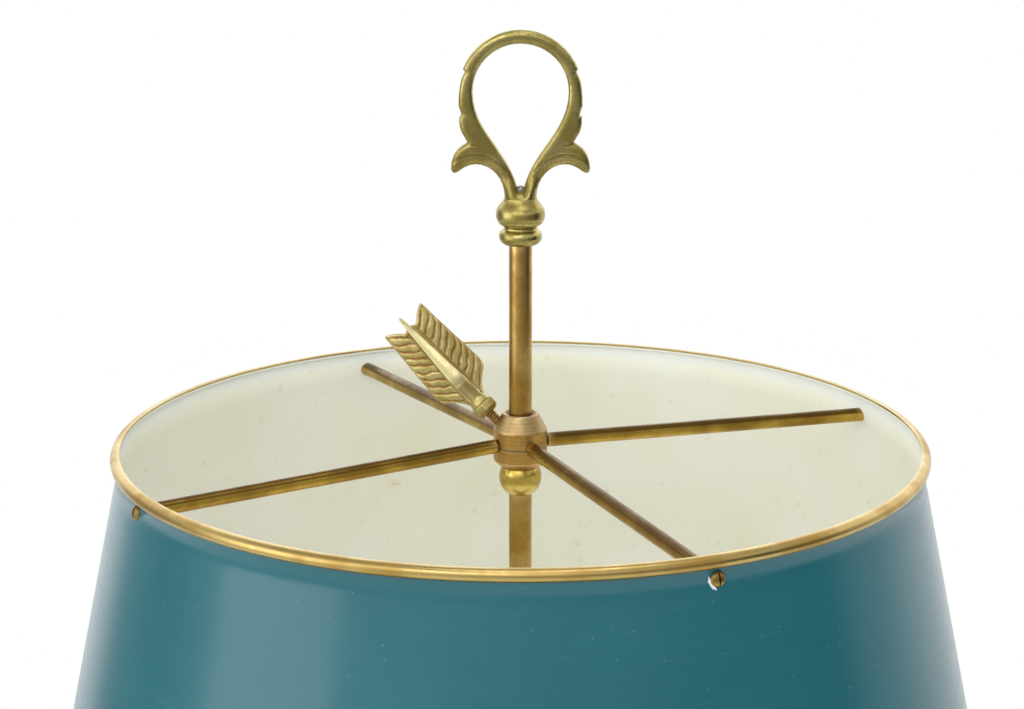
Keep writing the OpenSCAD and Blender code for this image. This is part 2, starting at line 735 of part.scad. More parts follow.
module bulb_stems() {
    color("white") for (turn = light_turns) at_light(turn, z_glass)
        turned([[0, 0], [3.6, 0], [3.4, 3], [1.9, 12], [1.6, stem_h - 1], [1, stem_h], [0, stem_h]]);
}

// ---- Rod and finial ----

module tube(z0, z1) {
    difference() {
        translate([0, 0, z0]) cylinder(r = rod_r, h = z1 - z0);
        translate([0, 0, z0 - 1]) cylinder(r = core_r + seat_gap, h = z1 - z0 + 2);
    }
}

module core_rod() {
    dome_z = z_handle + loop_foot + 2.2 - tip_r;
    color("silver") {
        translate([0, 0, z_cap - core_in_cap]) cylinder(r = core_r, h = z_knob - z_cap + core_in_cap);
        translate([0, 0, z_knob - 1]) cylinder(r = tip_r, h = dome_z - z_knob + 1);
        translate([0, 0, dome_z]) sphere(r = tip_r, $fn = 32);
    }
}

module lower_tube() {
    color("goldenrod") tube(z_tube, z_bead);
}

module upper_tube() {
    color("goldenrod") tube(z_hub + 0.2, z_collar);
}

module stop_bead() {
    color("goldenrod") difference() {
        intersection() {
            translate([0, 0, z_bead + bead_below]) sphere(r = bead_r);
            translate([0, 0, z_bead]) cylinder(r = bead_r + 1, h = z_hub - z_bead);
        }
        translate([0, 0, z_bead - 1]) cylinder(r = core_r + running_gap, h = z_hub - z_bead + 2);
    }
}

module finial_collar() {
    color("goldenrod") turned(concat(
        [[core_r + seat_gap, z_collar], [collar_r - 2.4, z_collar]],
        curve([collar_r - 2.2, z_collar], [collar_r + 0.5, z_collar + 1.4],
            [collar_r + 0.5, z_knob - 2.6], [collar_r - 1.4, z_knob - 1.3]),
        [[collar_r - 2.2, z_knob - 0.8], [collar_r - 2.2, z_knob], [core_r + seat_gap, z_knob]]));
}

module finial_knob() {
    foot = collar_r - 2.2;
    color("goldenrod") turned(concat(
        [[tip_r + seat_gap, z_knob], [foot, z_knob], [foot, z_knob + 0.3]],
        curve([foot + 1, z_knob + 0.8], [knob_r, z_knob + 2.2],
            [knob_r, z_knob + 0.36 * knob_h], [knob_r, z_knob + 0.46 * knob_h]),
        curve([knob_r, z_knob + 0.46 * knob_h], [knob_r, z_knob + 0.72 * knob_h],
            [knob_r - 2.9, z_knob + 0.8 * knob_h], [knob_r - 3.5, z_handle]),
        [[knob_r - 3.5, z_handle], [tip_r + seat_gap, z_handle]]));
}

// Half of the handle's outer edge, from its top down to the foot: three leaf lobes, then
// a leaf tip that curls outwards over the leg. Heights are steps down from the loop's centre.
function handle_edge(ro, drop, leg) = let (at = function(dx, k) [ro + dx, k * drop]) concat(
    [for (i = [0:9]) let (a = 90 - 7.6 * i) ro * [cos(a), sin(a)]],
    [at(-2.6, 0.18)],
    curve(at(-1.9, 0.155), at(-0.2, 0.1), at(0.5, -0.1), at(-0.1, -0.2), 5),
    [at(-1.1, -0.215)],
    curve(at(-0.2, -0.235), at(0.2, -0.31), at(-0.8, -0.38), at(-2, -0.42), 4),
    [at(-3.6, -0.475)],
    curve(at(-1.6, -0.5), at(2.4, -0.55), at(3.4, -0.66), at(3.4, -0.73), 6),
    curve(at(3.4, -0.73), at(3.2, -0.775), at(1.4, -0.775), at(0.2, -0.752), 4),
    curve(at(0.2, -0.752), at(-2.4, -0.71), at(-4.6, -0.685), at(-7.4, -0.685), 5),
    curve(at(-7.4, -0.685), at(-13.4, -0.685), [leg, -0.81 * drop], [leg, -drop], 8),
    [[leg, -drop]]);

// Half of the handle's opening: round above, drawn in to a narrow foot below
function handle_opening(ri, drop, foot) = concat(
    [for (i = [0:11]) let (a = 90 - 7.5 * i) ri * [cos(a), sin(a)]],
    curve([ri, 0], [ri, -0.37 * drop], [0.3 * ri, -0.52 * drop], [1.3, foot - drop + 1.2], 12),
    [[1.3, foot - drop + 1.2], [0.7, foot - drop + 0.3]]);

module mirrored_outline(half) {
    n = len(half);
    polygon(concat(half, [for (i = [n - 1:-1:0]) if (half[i].x > 0.001) [-half[i].x, half[i].y]]));
}

module loop_handle() {
    color("goldenrod") difference() {
        translate([0, loop_t / 2, z_handle + loop_rise]) rotate([90, 0, 0]) linear_extrude(loop_t)
            difference() {
                mirrored_outline(handle_edge(loop_r + loop_band, loop_rise, knob_r - 3.8));
                mirrored_outline(handle_opening(loop_r, loop_rise, loop_foot));
            }
        translate([0, 0, z_handle - 1]) cylinder(r = tip_r + seat_gap, h = loop_foot + 3);
    }
}

// ---- Spider ----

module along_spoke(turn) {
    translate([0, 0, z_spoke]) rotate([0, 0, turn]) rotate([0, 90 + spoke_droop, 0]) children();
}

module along_key() {
    translate([0, 0, z_key]) rotate([0, 0, key_turn]) rotate([0, 90 - key_slope, 0]) children();
}

module spoke_sockets() {
    for (turn = spoke_turns) along_spoke(turn)
        translate([0, 0, socket_r]) cylinder(r = spoke_r + seat_gap, h = hub_r);
}

module hub_upper() {
    color("peru") difference() {
        turned([[hub_bore_r, z_seam - hub_spigot_h], [hub_spigot_r, z_seam - hub_spigot_h],
            [hub_spigot_r, z_seam], [hub_r, z_seam], [hub_r, z_hub_edge], [hub_top_r, z_hub_top],
            [hub_bore_r + countersink, z_hub_top], [hub_bore_r, z_hub_top - countersink]]);
        spoke_sockets();
        along_key() cylinder(r = stud_r + running_gap, h = 2 * hub_r);
    }
}

module hub_lower() {
    z_step = z_seam - hub_spigot_h - seat_gap;
    color("peru") difference() {
        turned([[hub_bore_r, z_hub], [hub_r - hub_chamfer, z_hub], [hub_r, z_hub + hub_chamfer],
            [hub_r, z_seam], [hub_spigot_r + seat_gap, z_seam], [hub_spigot_r + seat_gap, z_step],
            [hub_bore_r, z_step]]);
        spoke_sockets();
    }
}

// Everything outside the sheet's inner face, round the spokes' ends
module beyond_sheet() {
    inner_r = shade_top_r - shade_t;
    deep = 1.5 * cut_over;
    turned([[inner_r, z_band], [inner_r + shade_slope * deep, z_band - deep],
        [inner_r + 3 * cut_over, z_band - deep], [inner_r + 3 * cut_over, z_band]]);
}

// A frame whose X axis stands square on the sheet where a spoke ends
module at_spoke_end(turn) {
    rotate([0, 0, turn]) translate([spoke_end_r, 0, z_spoke_end]) rotate([0, 90 - shade_lean, 0]) children();
}

module spoke(turn) {
    color("darkgoldenrod") difference() {
        along_spoke(turn) translate([0, 0, socket_r]) cylinder(r = spoke_r, h = spoke_end_r);
        beyond_sheet();
        at_spoke_end(turn) translate([0, 0, -screw_in_spoke])
            cylinder(r = screw_r + seat_gap, h = screw_in_spoke + cut_over);
    }
}

// ---- Shade ----

sheet = [[shade_bottom_r, z_hem], [shade_top_r, z_band], [band_r, z_band + band_step],
    [band_r, z_rim - rim_cap_t], [band_r - shade_t, z_rim - rim_cap_t],
    [band_r - shade_t, z_band + band_step], [shade_top_r - shade_t, z_band],
    [shade_bottom_r - shade_t, z_hem]];

module shade_shell() {
    color("teal") difference() {
        rotate_extrude($fn = 180) polygon(sheet);
        for (turn = spoke_turns) at_spoke_end(turn) translate([0, 0, -2]) cylinder(r = screw_r + 0.15, h = 6);
    }
}

module top_rim_ring() {
    lip_r = band_r - shade_t - rim_lip_t;
    color("goldenrod") rotate_extrude($fn = 180) {
        intersection() {
            translate([band_r, z_rim - rim_bead_r]) circle(r = rim_bead_r);
            translate([band_r, z_rim - 2 * rim_bead_r]) square([rim_bead_r + 1, 2 * rim_bead_r]);
        }
        translate([lip_r, z_rim - rim_cap_t]) square([shade_t + rim_lip_t, rim_cap_t]);
        translate([lip_r, z_rim - rim_cap_t - rim_lip_h]) square([rim_lip_t, rim_lip_h + 0.1]);
    }
}

module bottom_rim_ring() {
    color("goldenrod") rotate_extrude($fn = 180) difference() {
        translate([shade_bottom_r - shade_t / 2, z_hem]) circle(r = hem_ring_r);
        polygon(sheet);
    }
}

module shade_screws() {
    seat = shade_t * cos(shade_lean);
    color("darkgoldenrod") for (turn = spoke_turns) at_spoke_end(turn) difference() {
        union() {
            translate([0, 0, screw_tip_gap - screw_in_spoke]) cylinder(r = screw_r, h = screw_in_spoke + seat);
            translate([0, 0, seat]) cylinder(r = screw_head_r, h = screw_head_h);
        }
        translate([-screw_head_r - 1, -screw_slot_w / 2, seat + screw_head_h - screw_slot_d])
            cube([2 * screw_head_r + 2, screw_slot_w, screw_slot_d + 1]);
    }
}

// ---- Arrow key ----

module key_stud() {
    color("goldenrod") along_key() translate([0, 0, key_tip]) {
        cylinder(r1 = key_tip_r, r2 = stud_r, h = stud_r);
        translate([0, 0, stud_r]) cylinder(r = stud_r, h = boss_from + stud_in_boss - key_tip - stud_r);
    }
}

// One vane's outline, radius against length, from its front shoulder to its swept-back tail
function vane_outline() = [[0, 0], [0.33 * vane_r, 0.5], [0.76 * vane_r, 0.07 * vane_l],
    [0.95 * vane_r, 0.15 * vane_l], [vane_r, 0.24 * vane_l], [0.92 * vane_r, vane_l + 5],
    [0.6 * vane_r, vane_l + 3.4], [0.31 * vane_r, vane_l + 0.4], [0, vane_l - 1]];

// What one vane is cut from: thick in front, with a short nose, and thin at the tail
module vane_wedge() {
    nose_l = 0.5 * vane_front_t;
    rotate([90, 0, 90]) linear_extrude(vane_r + 1) polygon([[-0.3 * vane_front_t, 0],
        [0.3 * vane_front_t, 0], [vane_front_t / 2, nose_l], [vane_tail_t / 2, vane_l + 5],
        [-vane_tail_t / 2, vane_l + 5], [-vane_front_t / 2, nose_l]]);
}

module vane() {
    intersection() {
        translate([0, vane_front_t, 0]) rotate([90, 0, 0])
            linear_extrude(2 * vane_front_t) polygon(vane_outline());
        vane_wedge();
    }
}

module arrow_key() {
    shaft_l = vane_from + vane_l - arrow_from;
    color("burlywood") along_key() rotate([0, 0, key_roll]) difference() {
        union() {
            intersection() {
                translate([0, 0, boss_from]) rotate([0, 0, 30]) cylinder(r = boss_r, h = boss_l, $fn = 6);
                translate([0, 0, boss_from]) cylinder(r1 = boss_r - 1.8, r2 = boss_r + 3.8, h = boss_l);
            }
            translate([0, 0, arrow_from - 0.6]) cylinder(r1 = 0.86 * boss_r, r2 = arrow_r, h = 4);
            translate([0, 0, arrow_from + 3]) cylinder(r1 = arrow_r, r2 = arrow_end_r, h = shaft_l - 3);
            for (i = [0:2]) rotate([0, 0, 120 * i]) translate([0, 0, vane_from]) vane();
        }
        translate([0, 0, boss_from - 1]) cylinder(r = stud_r + seat_gap, h = stud_in_boss + 1);
    }
}

felt_pad();
base_weight();
base_dish();
gallery_ring();
base_washer();
pipe_nuts();
cord_bushing();
lamp_pipe();
plinth();
column_base();
fluted_column();
capital();
cluster_body();
cluster_cap();
switch_body();
switch_nut();
switch_knob();
for (i = [0:2]) {
    arm(light_turns[i]);
    drip_pan(light_turns[i]);
    candle_cup(light_turns[i]);
    candle_sleeve(light_turns[i]);
    lampholder(light_turns[i]);
    bulb_cap(light_turns[i]);
    bulb_glass(light_turns[i]);
}
arm_nipples();
bulb_stems();
core_rod();
lower_tube();
stop_bead();
upper_tube();
finial_collar();
finial_knob();
loop_handle();
hub_upper();
hub_lower();
for (i = [0:3]) spoke(spoke_turns[i]);
shade_shell();
top_rim_ring();
bottom_rim_ring();
shade_screws();
key_stud();
arrow_key();
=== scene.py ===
"""Bouillotte lamp: fine shapes, finishes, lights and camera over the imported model."""

import logging
import math
from collections.abc import Callable, Iterable, Sequence
from dataclasses import dataclass
from enum import Enum
from functools import partial

import bmesh
import bpy
import numpy as np
from bmesh.types import BMEdge, BMesh, BMFace, BMVert
from bpy.types import ID, Material, NodeSocket, NodeTree, Object, World
from mathutils import Matrix, Vector, noise


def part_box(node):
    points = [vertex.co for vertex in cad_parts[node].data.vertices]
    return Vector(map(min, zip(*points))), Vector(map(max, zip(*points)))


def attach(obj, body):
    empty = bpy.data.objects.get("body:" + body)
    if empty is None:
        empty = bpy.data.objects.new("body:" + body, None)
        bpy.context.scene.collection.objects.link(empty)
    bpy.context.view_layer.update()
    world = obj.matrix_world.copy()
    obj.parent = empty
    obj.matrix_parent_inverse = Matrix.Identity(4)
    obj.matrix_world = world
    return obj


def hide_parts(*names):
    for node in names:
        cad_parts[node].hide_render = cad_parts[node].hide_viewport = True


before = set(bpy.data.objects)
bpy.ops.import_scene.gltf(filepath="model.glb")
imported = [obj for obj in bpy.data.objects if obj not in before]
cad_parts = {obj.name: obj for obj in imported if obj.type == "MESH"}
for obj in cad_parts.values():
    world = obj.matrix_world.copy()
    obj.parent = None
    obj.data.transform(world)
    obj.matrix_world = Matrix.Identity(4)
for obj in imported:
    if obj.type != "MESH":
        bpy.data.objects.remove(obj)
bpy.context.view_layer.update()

MM = 0.001
FROM_MM = Matrix.Scale(MM, 4)
UP = Vector((0, 0, 1))
WHITE = (1.0, 1.0, 1.0, 1.0)
IMAGE_WIDTH = 1024
SENSOR_WIDTH = 36.0
MIX_SHARE, MIX_BELOW, MIX_ABOVE, MIX_COLOUR = 0, 6, 7, 2  # the Mix node's sockets for colours
Adder = Callable[..., NodeSocket]  # the function add for one tree
Look = tuple[str, Sequence[tuple[NodeSocket, str]], dict]
LOG = logging.getLogger("bouillotte_lamp")


# ---- Colours and shader nodes ----


def srgb(code: str) -> tuple[float, float, float, float]:
    """Turns an sRGB hex value into linear light.

    Args:
        code: Six hex digits after a hash sign.

    Returns:
        Linear red, green, blue and an alpha of one.
    """
    parts = [int(code[i : i + 2], 16) / 255 for i in (1, 3, 5)]
    linear = [p / 12.92 if p <= 0.04045 else ((p + 0.055) / 1.055) ** 2.4 for p in parts]
    return (*linear, 1.0)


def add(
    tree: NodeTree, kind: str, inputs: dict | Sequence = (), out: int | str = 0, **options: object
) -> NodeSocket | None:
    """Adds a shader node with its options, values and links.

    Args:
        tree: The node tree that gets the node.
        kind: Blender's name of the node, without its ShaderNode start.
        inputs: Values, or the sockets that feed them, by the inputs' names or numbers, or in a row
            for the first inputs.
        out: The output that is handed back.
        **options: The node's own settings.

    Returns:
        The chosen output socket, if the node has one.
    """
    made = tree.nodes.new("ShaderNode" + kind)
    for name, value in options.items():
        setattr(made, name, value)
    for name, value in inputs.items() if isinstance(inputs, dict) else enumerate(inputs):
        if isinstance(value, NodeSocket):
            tree.links.new(value, made.inputs[name])
        else:
            made.inputs[name].default_value = value
    return made.outputs[out] if made.outputs else None


def empty_tree(owner: Material | World) -> NodeTree:
    """Clears the node tree of a material or world.

    Args:
        owner: The material or world.

    Returns:
        Its empty node tree.
    """
    owner.use_nodes = True
    owner.node_tree.nodes.clear()
    return owner.node_tree


def per_mm(size: float) -> float:
    """Texture scale whose features are about this many millimetres across."""
    return 1 / (size * MM)


# ---- Finishes ----


@dataclass(frozen=True)
class Finish:
    """A named finish that makes its material once."""

    name: str

    def material(self) -> Material:
        """Makes the finish's material when it is first asked for.

        Returns:
            The material.
        """
        made = bpy.data.materials.get(self.name)
        if made is None:
            made = bpy.data.materials.new(self.name)
            node = partial(add, empty_tree(made))
            base, layers, values = self.look(node, node("TexCoord", out="Object"))
            colour = srgb(base)
            for share, code in layers:
                mixed = {MIX_SHARE: share, MIX_BELOW: colour, MIX_ABOVE: srgb(code)}
                colour = node("Mix", mixed, out=MIX_COLOUR, data_type="RGBA")
            shader = node("BsdfPrincipled", {"Base Color": colour, **values})
            node("OutputMaterial", {"Surface": shader})
        return made

    def look(self, node: Adder, place: NodeSocket) -> Look:
        """Adds the finish's own nodes.

        Args:
            node: Adds a node to the material's tree.
            place: Places on the object, m.

        Returns:
            The base colour's hex value, the layers over it from below, each with its share of the
            surface and its hex value, and the shader's other inputs by name.
        """
        raise NotImplementedError


@dataclass(frozen=True)
class AgedBrass(Finish):
    """Brass with a brown patina in soft patches, dirt in its corners and bright rubbed edges.

    Old brass is yellow where hands and cloths rub it and brown where they don't. That gives the
    eye soft drifts of colour, dark lines in corners and a thin light line along each edge. The upper
    colour, where one is given, is painted light: a tone laid on what faces upwards.

    Attributes:
        patch: Size of the patches of patina, mm.
        patina_share: Share of the surface that they cover.
        turned_lines: Strength of the lathe's marks.
        line_size: Distance of these marks, mm.
        grain: Strength of the fine grain.
        pits: Strength of the dark pits.
        flecks: Strength of the patina's small flecks.
        upper: Colour laid on what faces upwards as painted light, lightening or darkening the tops as light
            from above would.
        recess: Colour of what the mesh's groove values mark.
        relief: Whether the mesh's rubbed values mark the edges, and not its own bends.
    """

    metal: str
    patina: str
    rubbed: str
    dirt: str = "#3b2c18"
    roughness: float = 0.27
    patch: float = 14.0
    patina_share: float = 0.5
    turned_lines: float = 0.0
    line_size: float = 0.9  # real tool marks are near 0.1 mm; drawn coarse enough to show
    grain: float = 0.15
    pits: float = 0.3
    flecks: float = 0.5
    upper: str | None = None
    recess: str | None = None
    relief: bool = False

    def look(self, node: Adder, place: NodeSocket) -> Look:
        """Adds the brass's own nodes. See the base class."""
        drift = {"Vector": place, "Scale": per_mm(self.patch), "Detail": 4.0, "Roughness": 0.6}
        cloud = {"Vector": place, "Scale": per_mm(self.patch / 7), "Detail": 5.0, "Roughness": 0.7}
        grain = {"Vector": place, "Scale": per_mm(0.8), "Detail": 3.0, "Roughness": 0.6}
        drift, cloud, grain = (node("TexNoise", inputs) for inputs in (drift, cloud, grain))
        height = node("Math", (grain, self.grain), operation="MULTIPLY")
        middle = 0.5 + 0.16 * (0.5 - self.patina_share)
        brown = node("MapRange", (drift, middle - 0.12, middle + 0.14), interpolation_type="SMOOTHSTEP")
        flecks = node("MapRange", (cloud, 0.42, 0.68, 0.0, self.flecks))
        coat = node("Math", (brown, flecks), operation="ADD", use_clamp=True)
        layers = [(coat, self.patina)]
        # Painted light: faces that point upwards are mixed towards the upper colour, a painted tone for the
        # light from above.
        if self.upper:
            facing = node("SeparateXYZ", (node("NewGeometry", out="Normal"),), out="Z")
            top = node("MapRange", (facing, 0.3, 0.55, 0.0, 0.75), interpolation_type="SMOOTHSTEP")
            layers.append((top, self.upper))
        if self.turned_lines:
            level = node("SeparateXYZ", (place,), out="Z")
            lines = {"W": level, "Scale": per_mm(self.line_size), "Detail": 2.0}
            lines = node("TexNoise", lines, noise_dimensions="1D")
            layers.append((node("MapRange", (lines, 0.4, 0.62, 0.0, 0.3 * self.turned_lines)), self.rubbed))
            height = node("Math", (lines, self.turned_lines, height), operation="MULTIPLY_ADD")
        if self.relief:
            rubbed = node("Attribute", out="Fac", attribute_name="rubbed")
            edge = node("MapRange", (rubbed, 0.3, 1.0, 0.0, 0.6))
        else:
            bend = node("NewGeometry", out="Pointiness")
            edge = node("MapRange", (bend, 0.515, 0.58, 0.0, 0.85))
            layers.append((node("MapRange", (bend, 0.485, 0.42, 0.0, 0.9)), self.dirt))
        specks = node("TexVoronoi", {"Vector": place, "Scale": per_mm(4.5)}, out="Distance")
        pit = node("MapRange", (specks, 0.04, 0.09, self.pits, 0.0))
        layers += [(edge, self.rubbed), (pit, self.dirt)]
        if self.recess:
            groove = node("Attribute", out="Fac", attribute_name="groove")
            layers.append((node("MapRange", (groove, 0.15, 0.9, 0.0, 0.75)), self.recess))
        rough = node("MapRange", (cloud, 0.3, 0.7, self.roughness - 0.06, self.roughness + 0.08))
        rough = node("MapRange", (coat, 0.0, 1.0, rough, self.roughness + 0.14))
        height = node("Math", (pit, -1.0, height), operation="MULTIPLY_ADD")
        bump = node("Bump", {"Height": height, "Strength": 0.5, "Distance": 0.05 * MM})
        return self.metal, layers, {"Metallic": 1.0, "Roughness": rough, "Normal": bump}


class Brass(Enum):
    """The lamp's brass finishes."""

    ROD = AgedBrass("drawn_brass_rod", "#c6a566", "#a37f3e", "#d8c08e", roughness=0.22, patch=30,
                    patina_share=0.45, grain=0.05, pits=0.8, flecks=0.15)
    # The spokes' dark upper colour is a painted dark reflection on their tops.
    SPOKE = AgedBrass("browned_brass_spoke", "#b89843", "#93742f", "#c9ae6c", "#2e2212", roughness=0.25,
                      patch=26, pits=0.15, flecks=0.12, upper="#3c2410")
    # The hub's pale upper colour is a painted sheen on its upward-facing cone; its recess colour darkens the
    # joint and the countersink.
    HUB = AgedBrass("turned_brass_hub", "#bc944a", "#a3773a", "#d8c298", roughness=0.3, patch=9,
                    turned_lines=0.8, line_size=0.5, flecks=0.25, upper="#988b66", recess="#24120a")
    RIM = AgedBrass("half_round_brass_moulding", "#c0a769", "#ad8e4c", "#dccb98", patch=40,
                    patina_share=0.4, flecks=0.2, pits=0.15)
    BEAD = AgedBrass("polished_brass_ball", "#c6ac5a", "#ad9240", "#dccb94", roughness=0.22, patch=12,
                     patina_share=0.3, turned_lines=0.3, flecks=0.3)
    CAST = AgedBrass("cast_brass_olive", "#ab9f66", "#8d7f44", "#cdc492", "#33290f", roughness=0.23,
                     grain=0.25, flecks=0.3, recess="#75632f", relief=True)
    FINIAL = AgedBrass("turned_brass_finial", "#b3a666", "#978745", "#d6cb98", "#3a260f", roughness=0.2,
                       patch=12, patina_share=0.45, turned_lines=0.3, pits=0.1, flecks=0.2)
    ARROW = AgedBrass("cast_brass_arrow", "#bfb178", "#a8965a", "#dcd5a6", "#5a3a1c", roughness=0.34,
                      patch=8, patina_share=0.45, grain=0.4, flecks=0.35, recess="#7e5232", relief=True)
    SCREW = AgedBrass("slotted_brass_screw", "#9d8440", "#7a6030", "#b9a468", "#2b1a0c", roughness=0.28,
                      patch=5, patina_share=0.6)
    THREAD = AgedBrass("cut_brass_thread", "#b89c66", "#977a48", "#cfb98a", "#1c0d05", roughness=0.25,
                       patch=5, patina_share=0.4, pits=0.0)
    BASE = AgedBrass("spun_brass_base", "#c8a964", "#a88850", "#dfc78c", roughness=0.25, patch=30,
                     patina_share=0.4, turned_lines=0.15, flecks=0.3)
    FITTING = AgedBrass("cast_brass_fittings", "#c8a964", "#a48450", "#dfc78c", patch=18,
                        patina_share=0.45, flecks=0.35, relief=True)


@dataclass(frozen=True)
class ToleEnamel(Finish):
    """Brushed oil enamel on sheet steel, baked hard.

    Hand-laid paint keeps faint level brush lines and a few specks, under a satin gloss that
    grows towards the sides. A chip beside one screw shows the white primer.

    Attributes:
        chip: Middle of the screw beside which the paint is chipped, m.
        chip_way: Direction from there to the chip.
        chip_reach: How far the chip goes from the screw's middle, with its soft edge, mm.
        chip_start: Where it starts in its direction, with its soft edge, mm.
        ragged: How much its edge wanders, mm.
    """

    paint: str = "#185c66"
    worn: str = "#216570"
    speck: str = "#6f9499"
    bare: str = "#e6e8e4"
    chip: tuple[float, float, float] = (0.0759, -0.1583, 0.5101)
    chip_way: tuple[float, float, float] = (-0.781, -0.374, -0.5)
    chip_reach: tuple[float, float] = (4.9, 5.2)
    chip_start: tuple[float, float] = (2.5, 2.8)
    ragged: float = 1.6
    roughness: float = 0.2

    def look(self, node: Adder, place: NodeSocket) -> Look:
        """Adds the enamel's own nodes. See the base class."""
        drift = {"Vector": place, "Scale": per_mm(60), "Detail": 5.0, "Roughness": 0.55}
        flat = node("Mapping", {"Vector": place, "Scale": (1.0, 1.0, 22.0)})
        brush = {"Vector": flat, "Scale": per_mm(26), "Detail": 6.0, "Roughness": 0.65}
        ragged = {"Vector": place, "Scale": per_mm(1.2), "Detail": 2.0}
        drift, brush, ragged = (node("TexNoise", inputs) for inputs in (drift, brush, ragged))
        specks = node("TexVoronoi", {"Vector": place, "Scale": per_mm(7)}, out="Distance")
        offset = node("VectorMath", (place, self.chip), operation="SUBTRACT")
        reach = node("VectorMath", (offset,), out="Value", operation="LENGTH")
        reach = node("Math", (ragged, self.ragged * MM, reach), operation="MULTIPLY_ADD")
        near = node("MapRange", (reach, *(r * MM for r in self.chip_reach), 1.0, 0.0))
        aside = node("VectorMath", (offset, self.chip_way), out="Value", operation="DOT_PRODUCT")
        side = node("MapRange", (aside, *(s * MM for s in self.chip_start)))
        layers = [
            (node("MapRange", (drift, 0.35, 0.65, 0.0, 0.45)), self.worn),
            (node("MapRange", (brush, 0.62, 0.76, 0.0, 0.16)), self.speck),
            (node("MapRange", (specks, 0.03, 0.06, 0.5, 0.0)), self.speck),
            (node("Math", (near, side), operation="MULTIPLY"), self.bare),
        ]
        rough = node("MapRange", (brush, 0.3, 0.7, self.roughness - 0.03, self.roughness + 0.05))
        bump = node("Bump", {"Height": brush, "Strength": 0.1, "Distance": 0.04 * MM})
        return self.paint, layers, {"Roughness": rough, "IOR": 1.5, "Normal": bump}


@dataclass(frozen=True)
class IvoryPaint(Finish):
    """Old ivory-white paint with a dull, slightly chalky skin and faint brown stains."""

    paint: str = "#e6e7db"
    drift: str = "#e2e2cc"
    stain: str = "#b99a68"
    patch: float = 55.0
    stains: float = 0.5
    roughness: float = 0.55

    def look(self, node: Adder, place: NodeSocket) -> Look:
        """Adds the paint's own nodes. See the base class."""
        cloud = node("TexNoise", {"Vector": place, "Scale": per_mm(self.patch), "Detail": 5.0})
        spot = node("TexNoise", {"Vector": place, "Scale": per_mm(9), "Detail": 6.0, "Roughness": 0.7})
        fine = node("TexNoise", {"Vector": place, "Scale": per_mm(2.5), "Detail": 4.0})
        layers = [
            (node("MapRange", (cloud, 0.35, 0.7)), self.drift),
            (node("MapRange", (spot, 0.62, 0.76, 0.0, self.stains)), self.stain),
        ]
        bump = node("Bump", {"Height": fine, "Strength": 0.2, "Distance": 0.05 * MM})
        return self.paint, layers, {"Roughness": self.roughness, "IOR": 1.48, "Normal": bump}


@dataclass(frozen=True)
class DullSurface(Finish):
    """A plain technical surface: felt, phenolic, cast iron or bare steel, told apart by its values."""

    colour: str
    drift: str
    patch: float = 6.0
    grain: float = 0.6
    grain_size: float = 0.5
    metallic: float = 0.0
    roughness: float = 0.6

    def look(self, node: Adder, place: NodeSocket) -> Look:
        """Adds the surface's own nodes. See the base class."""
        cloud = {"Vector": place, "Scale": per_mm(self.patch), "Detail": 5.0, "Roughness": 0.6}
        cloud = node("TexNoise", cloud)
        fine = node("TexNoise", {"Vector": place, "Scale": per_mm(self.grain_size), "Detail": 4.0})
        layers = [(node("MapRange", (cloud, 0.35, 0.65)), self.drift)]
        rough = node("MapRange", (cloud, 0.3, 0.7, self.roughness - 0.06, self.roughness + 0.08))
        bump = node("Bump", {"Height": fine, "Strength": self.grain, "Distance": 0.08 * MM})
        return self.colour, layers, {"Metallic": self.metallic, "Roughness": rough, "Normal": bump}


@dataclass(frozen=True)
class ClearGlass(Finish):
    """Blown soda-lime glass, clear, with slight ripples from the blowing."""

    tint: str = "#f6faf6"

    def look(self, node: Adder, place: NodeSocket) -> Look:
        """Adds the glass's own nodes. See the base class."""
        wave = node("TexNoise", {"Vector": place, "Scale": per_mm(14), "Detail": 1.0})
        bump = node("Bump", {"Height": wave, "Strength": 0.1, "Distance": 0.2 * MM})
        return self.tint, [], {"Roughness": 0.02, "IOR": 1.5, "Transmission Weight": 1.0, "Normal": bump}


class Surface(Enum):
    """The lamp's other finishes."""

    TEAL = ToleEnamel("teal_tole_enamel")
    IVORY = IvoryPaint("ivory_paint_inside_shade")
    IVORY_BAND = IvoryPaint("ivory_paint_turned_edge", "#dfe3dd", "#dce0d5", stains=0.25)
    SLEEVE = IvoryPaint("ivory_candle_sleeve", "#e6dfc6", "#ded2ae", "#b4905c", 30, 0.35, 0.42)
    FELT = DullSurface("green_wool_felt", "#2f4a38", "#3d5a45", 8, 1.0, 0.6, roughness=0.95)
    IRON = DullSurface("cast_iron", "#3a3836", "#55483c", 10, 0.9, metallic=0.8)
    STEEL = DullSurface("zinc_plated_steel", "#9b9b97", "#82807a", 7, 0.25, metallic=1.0, roughness=0.36)
    PHENOLIC = DullSurface("brown_phenolic", "#2b1b14", "#3a251a", 5, 0.15, roughness=0.35)
    BUSHING = DullSurface("black_rubber_bushing", "#1c1c1c", "#282726", 5, 0.3)
    TUNGSTEN = DullSurface("tungsten_wire", "#6a6866", "#55524f", 3, 0.1, metallic=1.0, roughness=0.4)
    NICKEL = DullSurface("nickel_lamp_cap", "#b9b6ad", "#9d998c", 4, 0.15, metallic=1.0, roughness=0.26)
    GLASS = ClearGlass("clear_lamp_glass")


# ---- Mesh tools ----


def swing(angle: float, axis: str) -> Matrix:
    """Returns a turn by some degrees about a named axis."""
    return Matrix.Rotation(math.radians(angle), 4, axis)


def smoothstep(value: float) -> float:
    """Returns a soft step from nought to one."""
    t = min(max(value, 0.0), 1.0)
    return t * t * (3 - 2 * t)


def rounding(value: float) -> float:
    """Returns the height of a quarter circle over a width of one."""
    t = 1 - min(max(value, 0.0), 1.0)
    return math.sqrt(1 - t * t)


